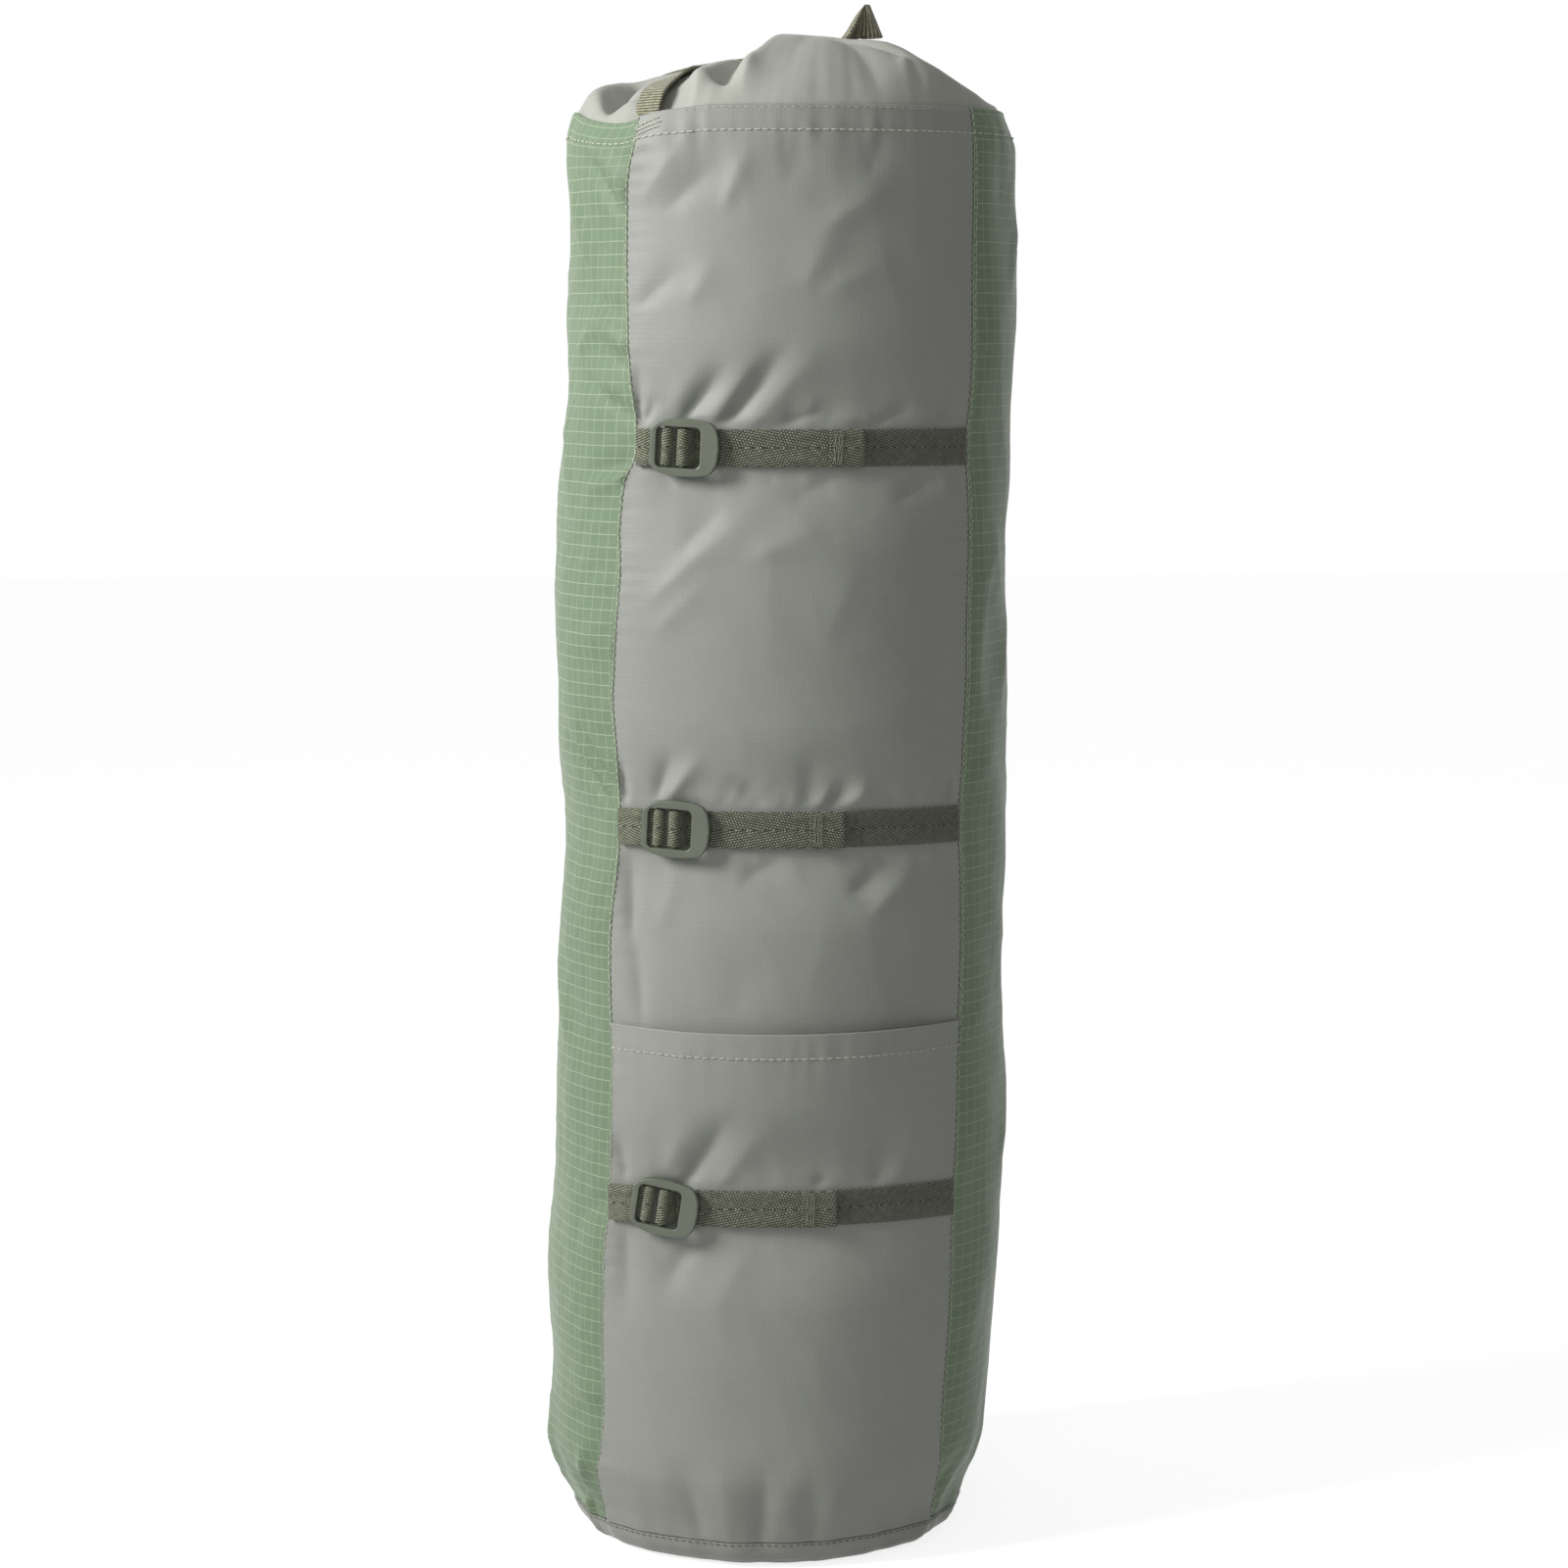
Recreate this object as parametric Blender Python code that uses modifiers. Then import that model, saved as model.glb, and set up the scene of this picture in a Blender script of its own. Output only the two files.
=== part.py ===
"""A two-person tent packed in its storage sack, standing upright.

The sack is a tube of two cloth panels on a round base. Three compression straps with ladder-lock
buckles cross its front, a pocket covers the lower third, and a gathered collar with a webbing handle
closes the top. Inside lie the rolled tent, the folded poles and the pegs. Metres, +Z up, front to -Y.
"""

import math

import bmesh
import bpy
from mathutils import Matrix, Vector

MM = 0.001

# The filled sack
tube_height = 587 * MM  # floor to the top of the hem
tube_width = 187 * MM
tube_depth = 168 * MM
squareness = 2.35  # 2 is an ellipse, more is boxier
middle_y = 3.2 * MM  # sets the sack over the origin, straps included
cloth = 0.8 * MM
gap = 0.3 * MM  # between pieces that lie on each other
crease = math.radians(35)  # sharper edges are shaded hard
seam_gap = 0.7 * MM
# share of the height, then where the long seams run, in degrees from the middle of the front
seam_turns = [(0.0, 53.0), (0.0205, 51.5), (0.034, 50.0), (0.06, 47.5), (0.1, 45.3), (0.14, 44.8)]
front_steps = 12
back_steps = 28
wrap_rows = 17
# share of the height, then reach to the left and to the right as shares of half the width
reaches = [
    (0.000, 0.890, 0.760),
    (0.0205, 0.938, 0.795),
    (0.034, 0.967, 0.820),
    (0.050, 1.010, 0.857),
    (0.068, 1.046, 0.893),
    (0.110, 1.054, 0.925),
    (0.180, 1.046, 0.949),
    (0.262, 1.030, 0.969),
    (0.354, 1.015, 0.967),
    (0.440, 0.995, 0.974),
    (0.522, 0.975, 0.981),
    (0.601, 1.004, 0.983),
    (0.664, 1.022, 0.975),
    (0.726, 0.992, 0.982),
    (0.775, 0.969, 0.990),
    (0.870, 0.934, 1.016),
    (0.931, 0.921, 1.008),
    (0.984, 0.934, 0.995),
    (1.000, 0.915, 0.979),
]

# Front panel, pressed in at the straps and puffed out between them
strap_sagitta = 17.6 * MM
bulge = 5 * MM
strap_hold = 9 * MM
bulge_spread = 34 * MM
bulge_rows = (0.0, 0.44, 1.0)  # shares of the spread
low_bulge = 9 * MM  # the front sags out over its bottom edge
low_bulge_height = 70 * MM

# Base
base_seam = 12 * MM
base_edge = [(0.0, 1.0), (0.35, 0.98), (0.7, 0.935), (0.93, 0.885), (1.0, 0.84)]

# Front pocket
pocket_mouth = 224 * MM
pocket_gape = 5.8 * MM
pocket_hold = 167 * MM  # the strap keeps it shut below this height

# Collar, gathered off centre: rises over the hem as shares of the way in to the throat
throat = (18 * MM, -14 * MM)
collar_tuck = 13 * MM
collar_inset = cloth + 2 * gap
collar_steps = (0.0, 0.04, 0.13, 0.25, 0.37, 0.46, 0.56, 0.64, 0.74, 0.84, 0.92)
steep_rise = [(0.0, 0), (0.06, 5), (0.2, 11.5), (0.37, 19.2), (0.56, 26.5), (0.69, 29.5), (0.84, 28.5), (1, 21)]
gentle_rise = [(0.0, 0), (0.04, 6), (0.13, 11.5), (0.25, 15.6), (0.46, 19.7), (0.64, 24), (0.8, 29), (1, 21)]
hollow_way = math.radians(-165)  # the handle lies in a hollow on this side of the throat
hollow_spread = math.radians(50)
hollow_press = 0.45

# Webbing
strap_width = 14.5 * MM
strap_thick = 1.0 * MM
fold_length = 11 * MM

# Straps: name, height, anchor length, reach of the tail past the middle, turn of the buckle
straps = [
    ("upper", 454.5 * MM, 11.5 * MM, 25 * MM, 3),
    ("middle", 304 * MM, 9.5 * MM, 18 * MM, 3),
    ("lower", 151.5 * MM, 9.5 * MM, 18 * MM, 9),
]

# Ladder-lock buckle, from its left edge; outwards is away from the sack
frame_length = 28 * MM
frame_half = 11.3 * MM
frame_back = 1.6 * MM
frame_front = 5.9 * MM
rail_width = 2.3 * MM
lip_width = 7.2 * MM
cheek_length = 16 * MM  # past the bars, the lip stands clear of the sack
edge_bevel = 0.9 * MM
window_half = 8.0 * MM
window_corner = 1.6 * MM
bar_radius = 1.3 * MM
bar_places = (6.3 * MM, 12.8 * MM)
bar_half = 8.8 * MM
bar_wrap = math.radians(225)
wrap_steps = 8
hinge_out = 1 * MM  # the anchor webbing flexes this far outside the frame
turn_reach = 17.5 * MM  # where the strap round the second bar lies flat again
doubled = 2 * strap_thick + gap  # two layers of webbing
hinge_lift = gap + doubled / 2
frame_outline = [
    (0.000, 0.60), (0.045, 0.76), (0.180, 0.90), (0.375, 0.99), (0.600, 1.00),
    (0.820, 0.92), (0.920, 0.74), (0.975, 0.40), (1.000, 0.00),
]

# Handle: its halves' routes as shares of half the width and depth, and height over the hem
handle_lift = 8 * MM
handle_inset = 2 * MM
handle_flex = 0.55 * MM  # each side of the line that the webbing turns on
handle_front = [
    (-0.56, -0.60, 11.5), (-0.42, -0.44, 14.5), (-0.31, -0.20, 19.5),
    (-0.12, 0.03, 26.5), (0.06, 0.16, 32.5), (0.19, 0.235, 38.5),
]
handle_rear = [(-0.56, 0.69, 19), (-0.41, 0.62, 26), (-0.21, 0.53, 30), (0.0, 0.46, 34), (0.17, 0.39, 39)]
handle_twist = [(0.25, -1, 0.1), (0.35, -0.7, 0.7), (0.2, -0.25, 1)]  # across the webbing, towards the bend
bight = (0.33, 0.31, 43.5)
bight_radius = 4.4 * MM
bight_half = math.radians(125)
bight_steps = 8
bight_flare = 0.42  # how far the webbing's lower edge leans out of the bend

# Contents
floor_gap = 26 * MM
contents_height = tube_height - 42 * MM
lean = math.radians(1.0)
contents_x = -6 * MM
roll_wide = 1.07
roll_gap = 0.7 * MM
roll_steps = 22  # a turn
inner_roll_radius = 0.226 * tube_depth
inner_layer = 0.0375 * tube_depth
inner_turns = 2.0
fly_layer = 0.031 * tube_depth
fly_turns = 1.8

pole_sections = 7
pole_radius = 4.25 * MM
pole_wall = 0.7 * MM
pole_length = 430 * MM
ferrule_length = 45 * MM
ferrule_inside = 20 * MM
ferrule_wall = 0.8 * MM
ferrule_fit = 0.15 * MM
pole_pitch = 9.0 * MM
pole_y = -12 * MM
bundle_x = 14.3 * MM
pole_bottom = 80 * MM
cord_radius = 1.2 * MM
cord_slack = 2 * MM
pole_sack_half = (31 * MM, 16.5 * MM)
pole_sack_bottom = 21 * MM
pole_sack_height = 535 * MM
bag_bottom = [(0.0, 0.8), (1 * MM, 0.94), (4 * MM, 1.0)]  # height, share of the full section

peg_count = 8
peg_length = 160 * MM
peg_wing = 6.2 * MM
peg_sheet = 1.2 * MM
peg_pitch = 2.2 * MM
peg_point = 22 * MM
peg_y = 9 * MM
peg_sack_half = (10 * MM, 14.5 * MM)
peg_sack_y = 20 * MM
peg_sack_bottom = 28 * MM
peg_sack_height = 262 * MM
peg_rest = 4 * MM
sleeve_radius = 5.4 * MM
sleeve_wall = 0.9 * MM
sleeve_length = 80 * MM


def clear_scene():
    for thing in list(bpy.data.objects):
        bpy.data.objects.remove(thing)


def new_collection(name):
    group = bpy.data.collections.new(name)
    bpy.context.scene.collection.children.link(group)
    return group


def finish_material(name, colour, roughness, metallic=0.0):
    material = bpy.data.materials.new(name)
    material.use_nodes = True
    shader = material.node_tree.nodes["Principled BSDF"]
    shader.inputs["Base Color"].default_value = (*colour, 1)
    shader.inputs["Roughness"].default_value = roughness
    shader.inputs["Metallic"].default_value = metallic
    return material


def smooth_value(stations, place, column=1):
    """Catmull-Rom value through stations, level beyond both ends."""
    if place <= stations[0][0]:
        return stations[0][column]
    if place >= stations[-1][0]:
        return stations[-1][column]
    k = next(i for i in range(len(stations) - 1) if stations[i + 1][0] >= place)
    before, after = max(k - 1, 0), min(k + 2, len(stations) - 1)
    span = stations[k + 1][0] - stations[k][0]
    t = (place - stations[k][0]) / span
    p, q = stations[k][column], stations[k + 1][column]
    slope_p = (q - stations[before][column]) / (stations[k + 1][0] - stations[before][0]) * span
    slope_q = (stations[after][column] - p) / (stations[after][0] - stations[k][0]) * span
    return (
        (2 * t**3 - 3 * t**2 + 1) * p
        + (t**3 - 2 * t**2 + t) * slope_p
        + (3 * t**2 - 2 * t**3) * q
        + (t**3 - t**2) * slope_q
    )


def ease(value):
    value = min(max(value, 0.0), 1.0)
    return value * value * (3 - 2 * value)


def rounded(value, power=squareness):
    return math.copysign(abs(value) ** (2 / power), value)


def tube_middle(height):
    """Middle and half of the sack's width at a height."""
    share = height / tube_height
    left = smooth_value(reaches, share, 1) * tube_width / 2
    right = smooth_value(reaches, share, 2) * tube_width / 2
    return (right - left) / 2, (right + left) / 2


def seam_turn(height):
    return math.radians(smooth_value(seam_turns, height / tube_height))


def front_arc(height):
    """The front panel's arc at a height: middle, y of its centre, radius, half angle."""
    middle, half = tube_middle(height)
    half_depth = tube_depth / tube_width * half
    seam_x = half * rounded(math.sin(seam_turn(height)))
    seam_y = half_depth * rounded(math.cos(seam_turn(height)))
    puff = 1.0
    for _, strap_height, *_ in straps:
        puff *= ease((abs(height - strap_height) - strap_hold) / bulge_spread)
    sagitta = strap_sagitta * half / (tube_width / 2) + bulge * puff
    sagitta += low_bulge * (1 - ease(height / low_bulge_height))
    radius = (seam_x**2 + sagitta**2) / (2 * sagitta)
    return middle, middle_y - seam_y - sagitta + radius, radius, math.asin(seam_x / radius)


def front_point(height, angle, out=0.0):
    middle, centre_y, radius, _ = front_arc(height)
    reach = radius + out
    return Vector((middle + reach * math.sin(angle), centre_y - reach * math.cos(angle), height))


def tube_point(height, turn):
    """Point on the outer face of the tube; turn 0 is the middle of the front."""
    if abs(turn) < seam_turn(height):
        return front_point(height, turn / seam_turn(height) * front_arc(height)[3])
    middle, half = tube_middle(height)
    half_depth = tube_depth / tube_width * half
    x = middle + half * rounded(math.sin(turn))
    y = middle_y - half_depth * rounded(math.cos(turn))
    return Vector((x, y, height))


def tube_ring(height, inset=0.0):
    """Closed outline of the tube at a height, moved inwards by inset."""
    seam = seam_turn(height)
    front = spaced(-seam, seam, front_steps)[:-1]
    back = spaced(seam, 2 * math.pi - seam, back_steps)[:-1]
    turns = front + [t if t <= math.pi else t - 2 * math.pi for t in back]
    ring = [tube_point(height, t) for t in turns]
    moved = []
    for k, point in enumerate(ring):
        along = (ring[(k + 1) % len(ring)] - ring[k - 1]).normalized()
        moved.append(point + inset * Vector((-along.y, along.x, 0)))
    return moved


def add_object(name, mesh, material, collection):
    thing = bpy.data.objects.new(name, mesh)
    if material and not mesh.materials:
        mesh.materials.append(material)
    collection.objects.link(thing)
    return thing


def add_pivot(name, matrix):
    pivot = bpy.data.objects.new(name, None)
    pivot.matrix_world = matrix
    tent.objects.link(pivot)
    return pivot


def hang_from(thing, pivot):
    """Parents a piece to its pivot and leaves it where it is."""
    thing.parent = pivot
    thing.matrix_parent_inverse = pivot.matrix_world.inverted()


def raise_faces(shape, way):
    """Extrudes the faces of a flat shape along a vector, and gives the raised vertices."""
    grown = bmesh.ops.extrude_face_region(shape, geom=list(shape.faces))
    raised = [v for v in grown["geom"] if isinstance(v, bmesh.types.BMVert)]
    bmesh.ops.translate(shape, verts=raised, vec=way)
    bmesh.ops.recalc_face_normals(shape, faces=shape.faces)
    return raised


def sheet_mesh(name, rows, ring=False, cap=False):
    """Open surface through rows of points; ring closes each row, cap closes the last one."""
    shape = bmesh.new()
    grid = [[shape.verts.new(p) for p in row] for row in rows]
    count = len(rows[0])
    for lower, upper in zip(grid, grid[1:]):
        for k in range(count if ring else count - 1):
            n = (k + 1) % count
            shape.faces.new((lower[k], lower[n], upper[n], upper[k]))
    if cap:
        shape.faces.new(grid[-1])
    mesh = bpy.data.meshes.new(name)
    shape.to_mesh(mesh)
    shape.free()
    return mesh


def cloth_piece(name, rows, material, thickness=cloth, ring=False, cap=False, side=-1):
    """A cloth or webbing piece: a surface with its thickness laid to one side."""
    thing = add_object(name, sheet_mesh(name, rows, ring, cap), material, tent)
    wall = thing.modifiers.new("thickness", "SOLIDIFY")
    wall.thickness = thickness
    wall.offset = side
    wall.use_even_offset = True
    thing.data.shade_smooth()
    thing.data.set_sharp_from_angle(angle=crease)
    return thing


def spaced(start, stop, steps):
    return [start + (stop - start) * k / steps for k in range(steps + 1)]


def panel_heights(bottom, top):
    """Heights of the front panel's rows, closer together round the straps and the pocket's mouth."""
    heights = {bottom, top}
    for _, strap_height, *_ in straps:
        for share in bulge_rows:
            reach = strap_hold + bulge_spread * share
            heights.update((strap_height - reach, strap_height + reach))
    for low, high in ((bottom, straps[2][1]), (straps[0][1], top)):
        heights.add((low + high) / 2)
    heights.add(tube_height - collar_tuck)
    heights.update(spaced(pocket_hold, pocket_mouth, 4))
    heights.update(base_seam + low_bulge_height * share for share in (0.15, 0.3, 0.6))
    for upper, lower in zip(straps, straps[1:]):
        heights.add((upper[1] + lower[1]) / 2)
    return sorted(h for h in heights if bottom <= h <= top)


def build_tube():
    """The two panels of the tube, which meet at the long seams."""
    half_gap = seam_gap / tube_width
    heights = panel_heights(base_seam, tube_height)
    edge = 1 - half_gap / seam_turn(tube_height)
    shares = spaced(-edge, edge, front_steps)
    rows = [[front_point(h, front_arc(h)[3] * s) for s in shares] for h in heights]
    cloth_piece("front_panel", rows, grey_cloth)
    rows = []
    lowest = [base_seam + low_bulge_height * share for share in (0.15, 0.3)]
    for height in sorted(spaced(base_seam, tube_height, wrap_rows) + [tube_height - collar_tuck] + lowest):
        edge = seam_turn(height) + half_gap
        turns = spaced(edge, 2 * math.pi - edge, back_steps)
        rows.append([tube_point(height, t if t <= math.pi else t - 2 * math.pi) for t in turns])
    cloth_piece("body_wrap", rows, green_cloth)


def build_base():
    rim = tube_ring(base_seam)
    middle = Vector((tube_middle(base_seam)[0], middle_y, 0))
    rows = []
    for drop, share in base_edge:
        height = (base_seam - gap) * (1 - drop)
        row = [middle + (p - middle) * share for p in reversed(rim)]
        rows.append([Vector((p.x, p.y, height)) for p in row])
    cloth_piece("base_panel", rows, grey_cloth, ring=True, cap=True)


def pocket_out(height, share):
    """How far the pocket's outer face stands off the front panel; share 0 is its middle."""
    opening = ease((height - pocket_hold) / (pocket_mouth - pocket_hold))
    return gap + cloth + pocket_gape * opening * (1 - share**2)


def build_pocket():
    rows = []
    for h in panel_heights(base_seam, pocket_mouth):
        half_angle = front_arc(h)[3] - seam_gap / tube_width
        shares = spaced(-1, 1, front_steps)
        rows.append([front_point(h, half_angle * s, pocket_out(h, s)) for s in shares])
    cloth_piece("front_pocket", rows, grey_cloth)


def collar_point(start, way_in):
    """Point of the collar on the way from the hem to the throat."""
    centre = Vector((throat[0], throat[1], 0))
    flat = start.lerp(centre, way_in)
    away = (flat - centre).normalized() if way_in < 1 else Vector((0, -1, 0))
    steep = 0.5 + 0.5 * (away.x - away.y) / math.sqrt(2)
    low = smooth_value(gentle_rise, way_in)
    high = smooth_value(steep_rise, way_in)
    off = abs(math.remainder(math.atan2(away.y, away.x) - hollow_way, 2 * math.pi))
    pressed = hollow_press * ease(1 - off / hollow_spread) * ease(way_in / 0.15) * ease((1 - way_in) / 0.35)
    rise = (low + (high - low) * steep) * (1 - pressed)
    return Vector((flat.x, flat.y, tube_height + rise * MM))


def build_collar():
    rim = tube_ring(tube_height, collar_inset)
    low_rim = tube_ring(tube_height - collar_tuck, collar_inset)
    rows = [low_rim]
    for way_in in collar_steps:
        rows.append([collar_point(Vector((p.x, p.y, 0)), way_in) for p in rim])
    cloth_piece("closure_collar", rows, collar_cloth, ring=True, cap=True)


def ribbon(name, centres, acrosses, thickness=strap_thick):
    """Webbing along a route, with its width along the vectors in acrosses."""
    rows = [
        [c - a.normalized() * strap_width / 2, c + a.normalized() * strap_width / 2]
        for c, a in zip(centres, acrosses)
    ]
    return cloth_piece(name, rows, webbing, thickness, side=0)


def build_handle():
    """The handle lies over the collar as a loop, both ends sewn to the hem on the left."""
    half = Vector((tube_width / 2, tube_depth / 2, 0))
    ends = {}
    seam = seam_turn(tube_height)
    for side, turn in (("front", -seam), ("rear", seam - math.pi)):
        foot = tube_point(tube_height, turn)
        reach = strap_width / tube_width
        along = (tube_point(tube_height, turn + reach) - tube_point(tube_height, turn - reach)).normalized()
        if along.y > 0:
            along = -along
        top = foot + Vector((handle_inset, 0, handle_lift))
        low = foot + Vector((0, 0, seam_gap))
        centres = [low.lerp(top - Vector((0, 0, handle_flex)), t) for t in (0, 0.5, 1)]
        level = Vector((0, -1, 0))
        ribbon(f"handle_{side}_end", centres, [along.lerp(level, t) for t in (0, 0.55, 1)])
        ends[side] = top

    def place(share_x, share_y, over_hem):
        return Vector((share_x * half.x, middle_y + share_y * half.y, tube_height + over_hem * MM))

    level = Vector((0, -1, 0))
    flexed = Vector((handle_flex, 0, handle_flex))
    route = [ends["front"] + flexed, *[place(*p) for p in handle_front]]
    widths = [level, level, level, level, *[Vector(across) for across in handle_twist]]
    bend = place(*bight)
    for around in spaced(-bight_half, bight_half, bight_steps):
        out = Vector((math.cos(around), math.sin(around), 0))
        route.append(bend + out * bight_radius)
        widths.append(Vector((0, 0, 1)) - out * bight_flare)
    route += [place(*p) for p in reversed(handle_rear)]
    widths += [Vector((x, -y, z)) for x, y, z in reversed(handle_twist)]
    route.append(ends["rear"] + flexed)
    widths += [-level, -level, -level]
    thing = ribbon("top_handle", route, widths)
    pivot = add_pivot("handle_pivot", Matrix.Translation((ends["front"].x, middle_y, ends["front"].z)))
    hang_from(thing, pivot)


def strap_strip(name, height, start, stop, out_start, out_stop, thickness):
    """Webbing along the front arc, from one arc length to another, measured from the middle."""
    radius = front_arc(height)[2]
    steps = max(2, round((stop - start) / (8 * MM)))
    rows = []
    for k, s in enumerate(spaced(start, stop, steps)):
        out = out_start + (out_stop - out_start) * k / steps
        point = front_point(height, s / radius, out)
        rows.append([point + Vector((0, 0, strap_width / 2)), point - Vector((0, 0, strap_width / 2))])
    return cloth_piece(name, rows, webbing, thickness)


def as_cutter(thing, name):
    thing.name = name
    for group in list(thing.users_collection):
        group.objects.unlink(thing)
    cutters.objects.link(thing)
    thing.hide_render = True
    thing.display_type = "WIRE"
    return thing


def boxed(name, low, high):
    """A closed box between two corners, kept as a cutter."""
    bpy.ops.mesh.primitive_cube_add(size=1)
    thing = as_cutter(bpy.context.object, name)
    size = Vector(high) - Vector(low)
    thing.data.transform(Matrix.Translation((Vector(low) + Vector(high)) / 2) @ Matrix.Diagonal((*size, 1)))
    return thing


def buckle_mesh():
    """The moulded frame: a tapered plate with a window, a webbing channel and two bars across."""
    half = [(u * frame_length, w * frame_half) for u, w in frame_outline]
    outline = half + [(u, -w) for u, w in reversed(half[:-1])]
    shape = bmesh.new()
    shape.faces.new([shape.verts.new((u, -frame_back, w)) for u, w in outline])
    raised = raise_faces(shape, (0, frame_back - frame_front, 0))
    front_edges = [e for e in shape.edges if all(v in raised for v in e.verts)]
    bmesh.ops.bevel(shape, geom=front_edges, offset=edge_bevel, segments=2, profile=0.5, affect="EDGES")
    mesh = bpy.data.meshes.new("buckle_plate")
    shape.to_mesh(mesh)
    shape.free()
    moulding = as_cutter(add_object("buckle_plate", mesh, None, cutters), "buckle_plate")
    window = boxed(
        "window_cutter",
        (rail_width, -2 * frame_front, -window_half),
        (frame_length - lip_width, frame_front, window_half),
    )
    corners = window.modifiers.new("corners", "BEVEL")
    corners.width = window_corner
    corners.segments = 3
    channel_top = gap + 2 * (strap_thick + gap)
    channel = boxed(
        "channel_cutter",
        (-frame_length, -channel_top - gap, -window_half),
        (2 * frame_length, frame_front, window_half),
    )
    relief = boxed(
        "lip_relief_cutter",
        (cheek_length, -channel_top - gap, -2 * frame_half),
        (2 * frame_length, frame_front, 2 * frame_half),
    )
    for cutter in (window, channel, relief):
        cut = moulding.modifiers.new(cutter.name, "BOOLEAN")
        cut.object = cutter
        cut.operation = "DIFFERENCE"
    for k, place in enumerate(bar_places):
        bpy.ops.mesh.primitive_cylinder_add(vertices=12, radius=bar_radius, depth=2 * bar_half)
        bar = as_cutter(bpy.context.object, f"bar_{k + 1}")
        bar.data.transform(Matrix.Translation((place, -bar_out(), 0)))
        join = moulding.modifiers.new(bar.name, "BOOLEAN")
        join.object = bar
        join.operation = "UNION"
    bpy.context.view_layer.update()
    evaluated = moulding.evaluated_get(bpy.context.evaluated_depsgraph_get())
    finished = bpy.data.meshes.new_from_object(evaluated)
    finished.name = "ladder_lock"
    finished.materials.clear()
    finished.materials.append(buckle_plastic)
    return finished


def bar_out():
    """How far the middle of a bar stands off the sack, with the strap running under it."""
    return gap + strap_thick + gap + bar_radius


def wrap_route(place, towards, reach):
    """Webbing round a bar: in along the back, round it, and down again to the second layer."""
    bend = bar_radius + gap + strap_thick / 2
    low = gap + strap_thick / 2
    upper = low + strap_thick + gap
    route = [(reach, low)]
    for turned in spaced(0, bar_wrap, wrap_steps):
        around = -math.pi / 2 - turned
        route.append((place + towards * bend * math.cos(around), bar_out() + bend * math.sin(around)))
    last_u, last_out = route[-1]
    route.append((last_u + towards * (last_out - upper), upper))
    route.append((reach, upper))
    return route


def wrap_piece(name, place, towards, reach, frame):
    route = wrap_route(place, towards, reach)
    rows = [[Vector((u, -out, -strap_width / 2)), Vector((u, -out, strap_width / 2))] for u, out in route]
    thing = cloth_piece(name, rows, webbing, strap_thick, side=0)
    thing.parent = frame
    thing.location = (hinge_out, hinge_lift, 0)


def build_straps():
    frame_mesh = buckle_mesh()
    for name, height, anchor_length, tail_reach, turned in straps:
        middle, centre_y, radius, half_angle = front_arc(height)
        stack = pocket_out(height, 1) if height < pocket_mouth else 0.0
        seam = radius * half_angle
        left_edge = -seam + anchor_length
        angle = (left_edge + frame_length / 2) / radius
        tilt = add_pivot(
            f"{name}_tilt_pivot",
            Matrix.Translation(front_point(height, angle, stack))
            @ Matrix.Rotation(angle, 4, "Z")
            @ Matrix.Rotation(math.radians(turned), 4, "Y")
            @ Matrix.Translation((-frame_length / 2 - hinge_out, -hinge_lift, 0)),
        )
        buckle = add_object(f"{name}_buckle", frame_mesh, buckle_plastic, tent)
        buckle.parent = tilt
        buckle.location = (hinge_out, hinge_lift, 0)
        skew = strap_width / 2 * math.tan(math.radians(turned))
        wrap_piece(f"{name}_anchor_loop", bar_places[0], -1, skew - hinge_out + gap, tilt)
        wrap_piece(f"{name}_strap_turn", bar_places[1], 1, turn_reach, tilt)
        sag = (frame_length / 2) ** 2 / (2 * (radius + stack))
        out = stack + gap + doubled
        anchor_end = left_edge - hinge_out - gap
        strap_strip(f"{name}_anchor_webbing", height, -seam + gap, anchor_end, out, out + sag, doubled)
        run_start = left_edge + turn_reach + gap + skew
        out = stack + gap + strap_thick
        strap_strip(f"{name}_strap_run", height, run_start, seam - gap, out, out, strap_thick)
        out += gap + strap_thick
        fold_start = tail_reach - fold_length
        slide = add_pivot(f"{name}_slide_pivot", Matrix.Translation((middle, centre_y, height)))
        tail = strap_strip(f"{name}_strap_tail", height, run_start, fold_start - gap, out, out, strap_thick)
        hang_from(tail, slide)
        out += strap_thick
        end = strap_strip(f"{name}_tail_end", height, fold_start, tail_reach, out, out, 2 * strap_thick)
        hang_from(end, slide)


def rounded_ring(half_x, half_y, power, count, height):
    ring = []
    for k in range(count):
        turn = 2 * math.pi * k / count
        x, y = half_x * rounded(math.cos(turn), power), half_y * rounded(math.sin(turn), power)
        ring.append(Vector((x, y, height)))
    return ring


def open_bag(name, half, power, y, bottom, top, material):
    """A small sack with an open mouth and a rounded bottom."""
    rows = []
    for height, share in [(top, 1.0)] + [(bottom + rise, share) for rise, share in reversed(bag_bottom)]:
        ring = rounded_ring(half[0] * share, half[1] * share, power, 20, height)
        rows.append([p + Vector((0, y, 0)) for p in reversed(ring)])
    thing = cloth_piece(name, rows, material, ring=True, cap=True)
    thing.parent = contents


def roll_outline(inner_radius, layer, turns):
    """Closed outline of a strip rolled on itself: out along its outer face, back along the inner."""
    steps = int(turns * roll_steps)
    pitch = layer + roll_gap
    outer, inner = [], []
    for k in range(steps + 1):
        turn = 2 * math.pi * turns * k / steps
        radius = inner_radius + pitch * turn / (2 * math.pi)
        way = Vector((roll_wide * math.cos(turn), math.sin(turn), 0))
        inner.append(way * radius)
        outer.append(way * (radius + layer))
    return outer + list(reversed(inner))


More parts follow.
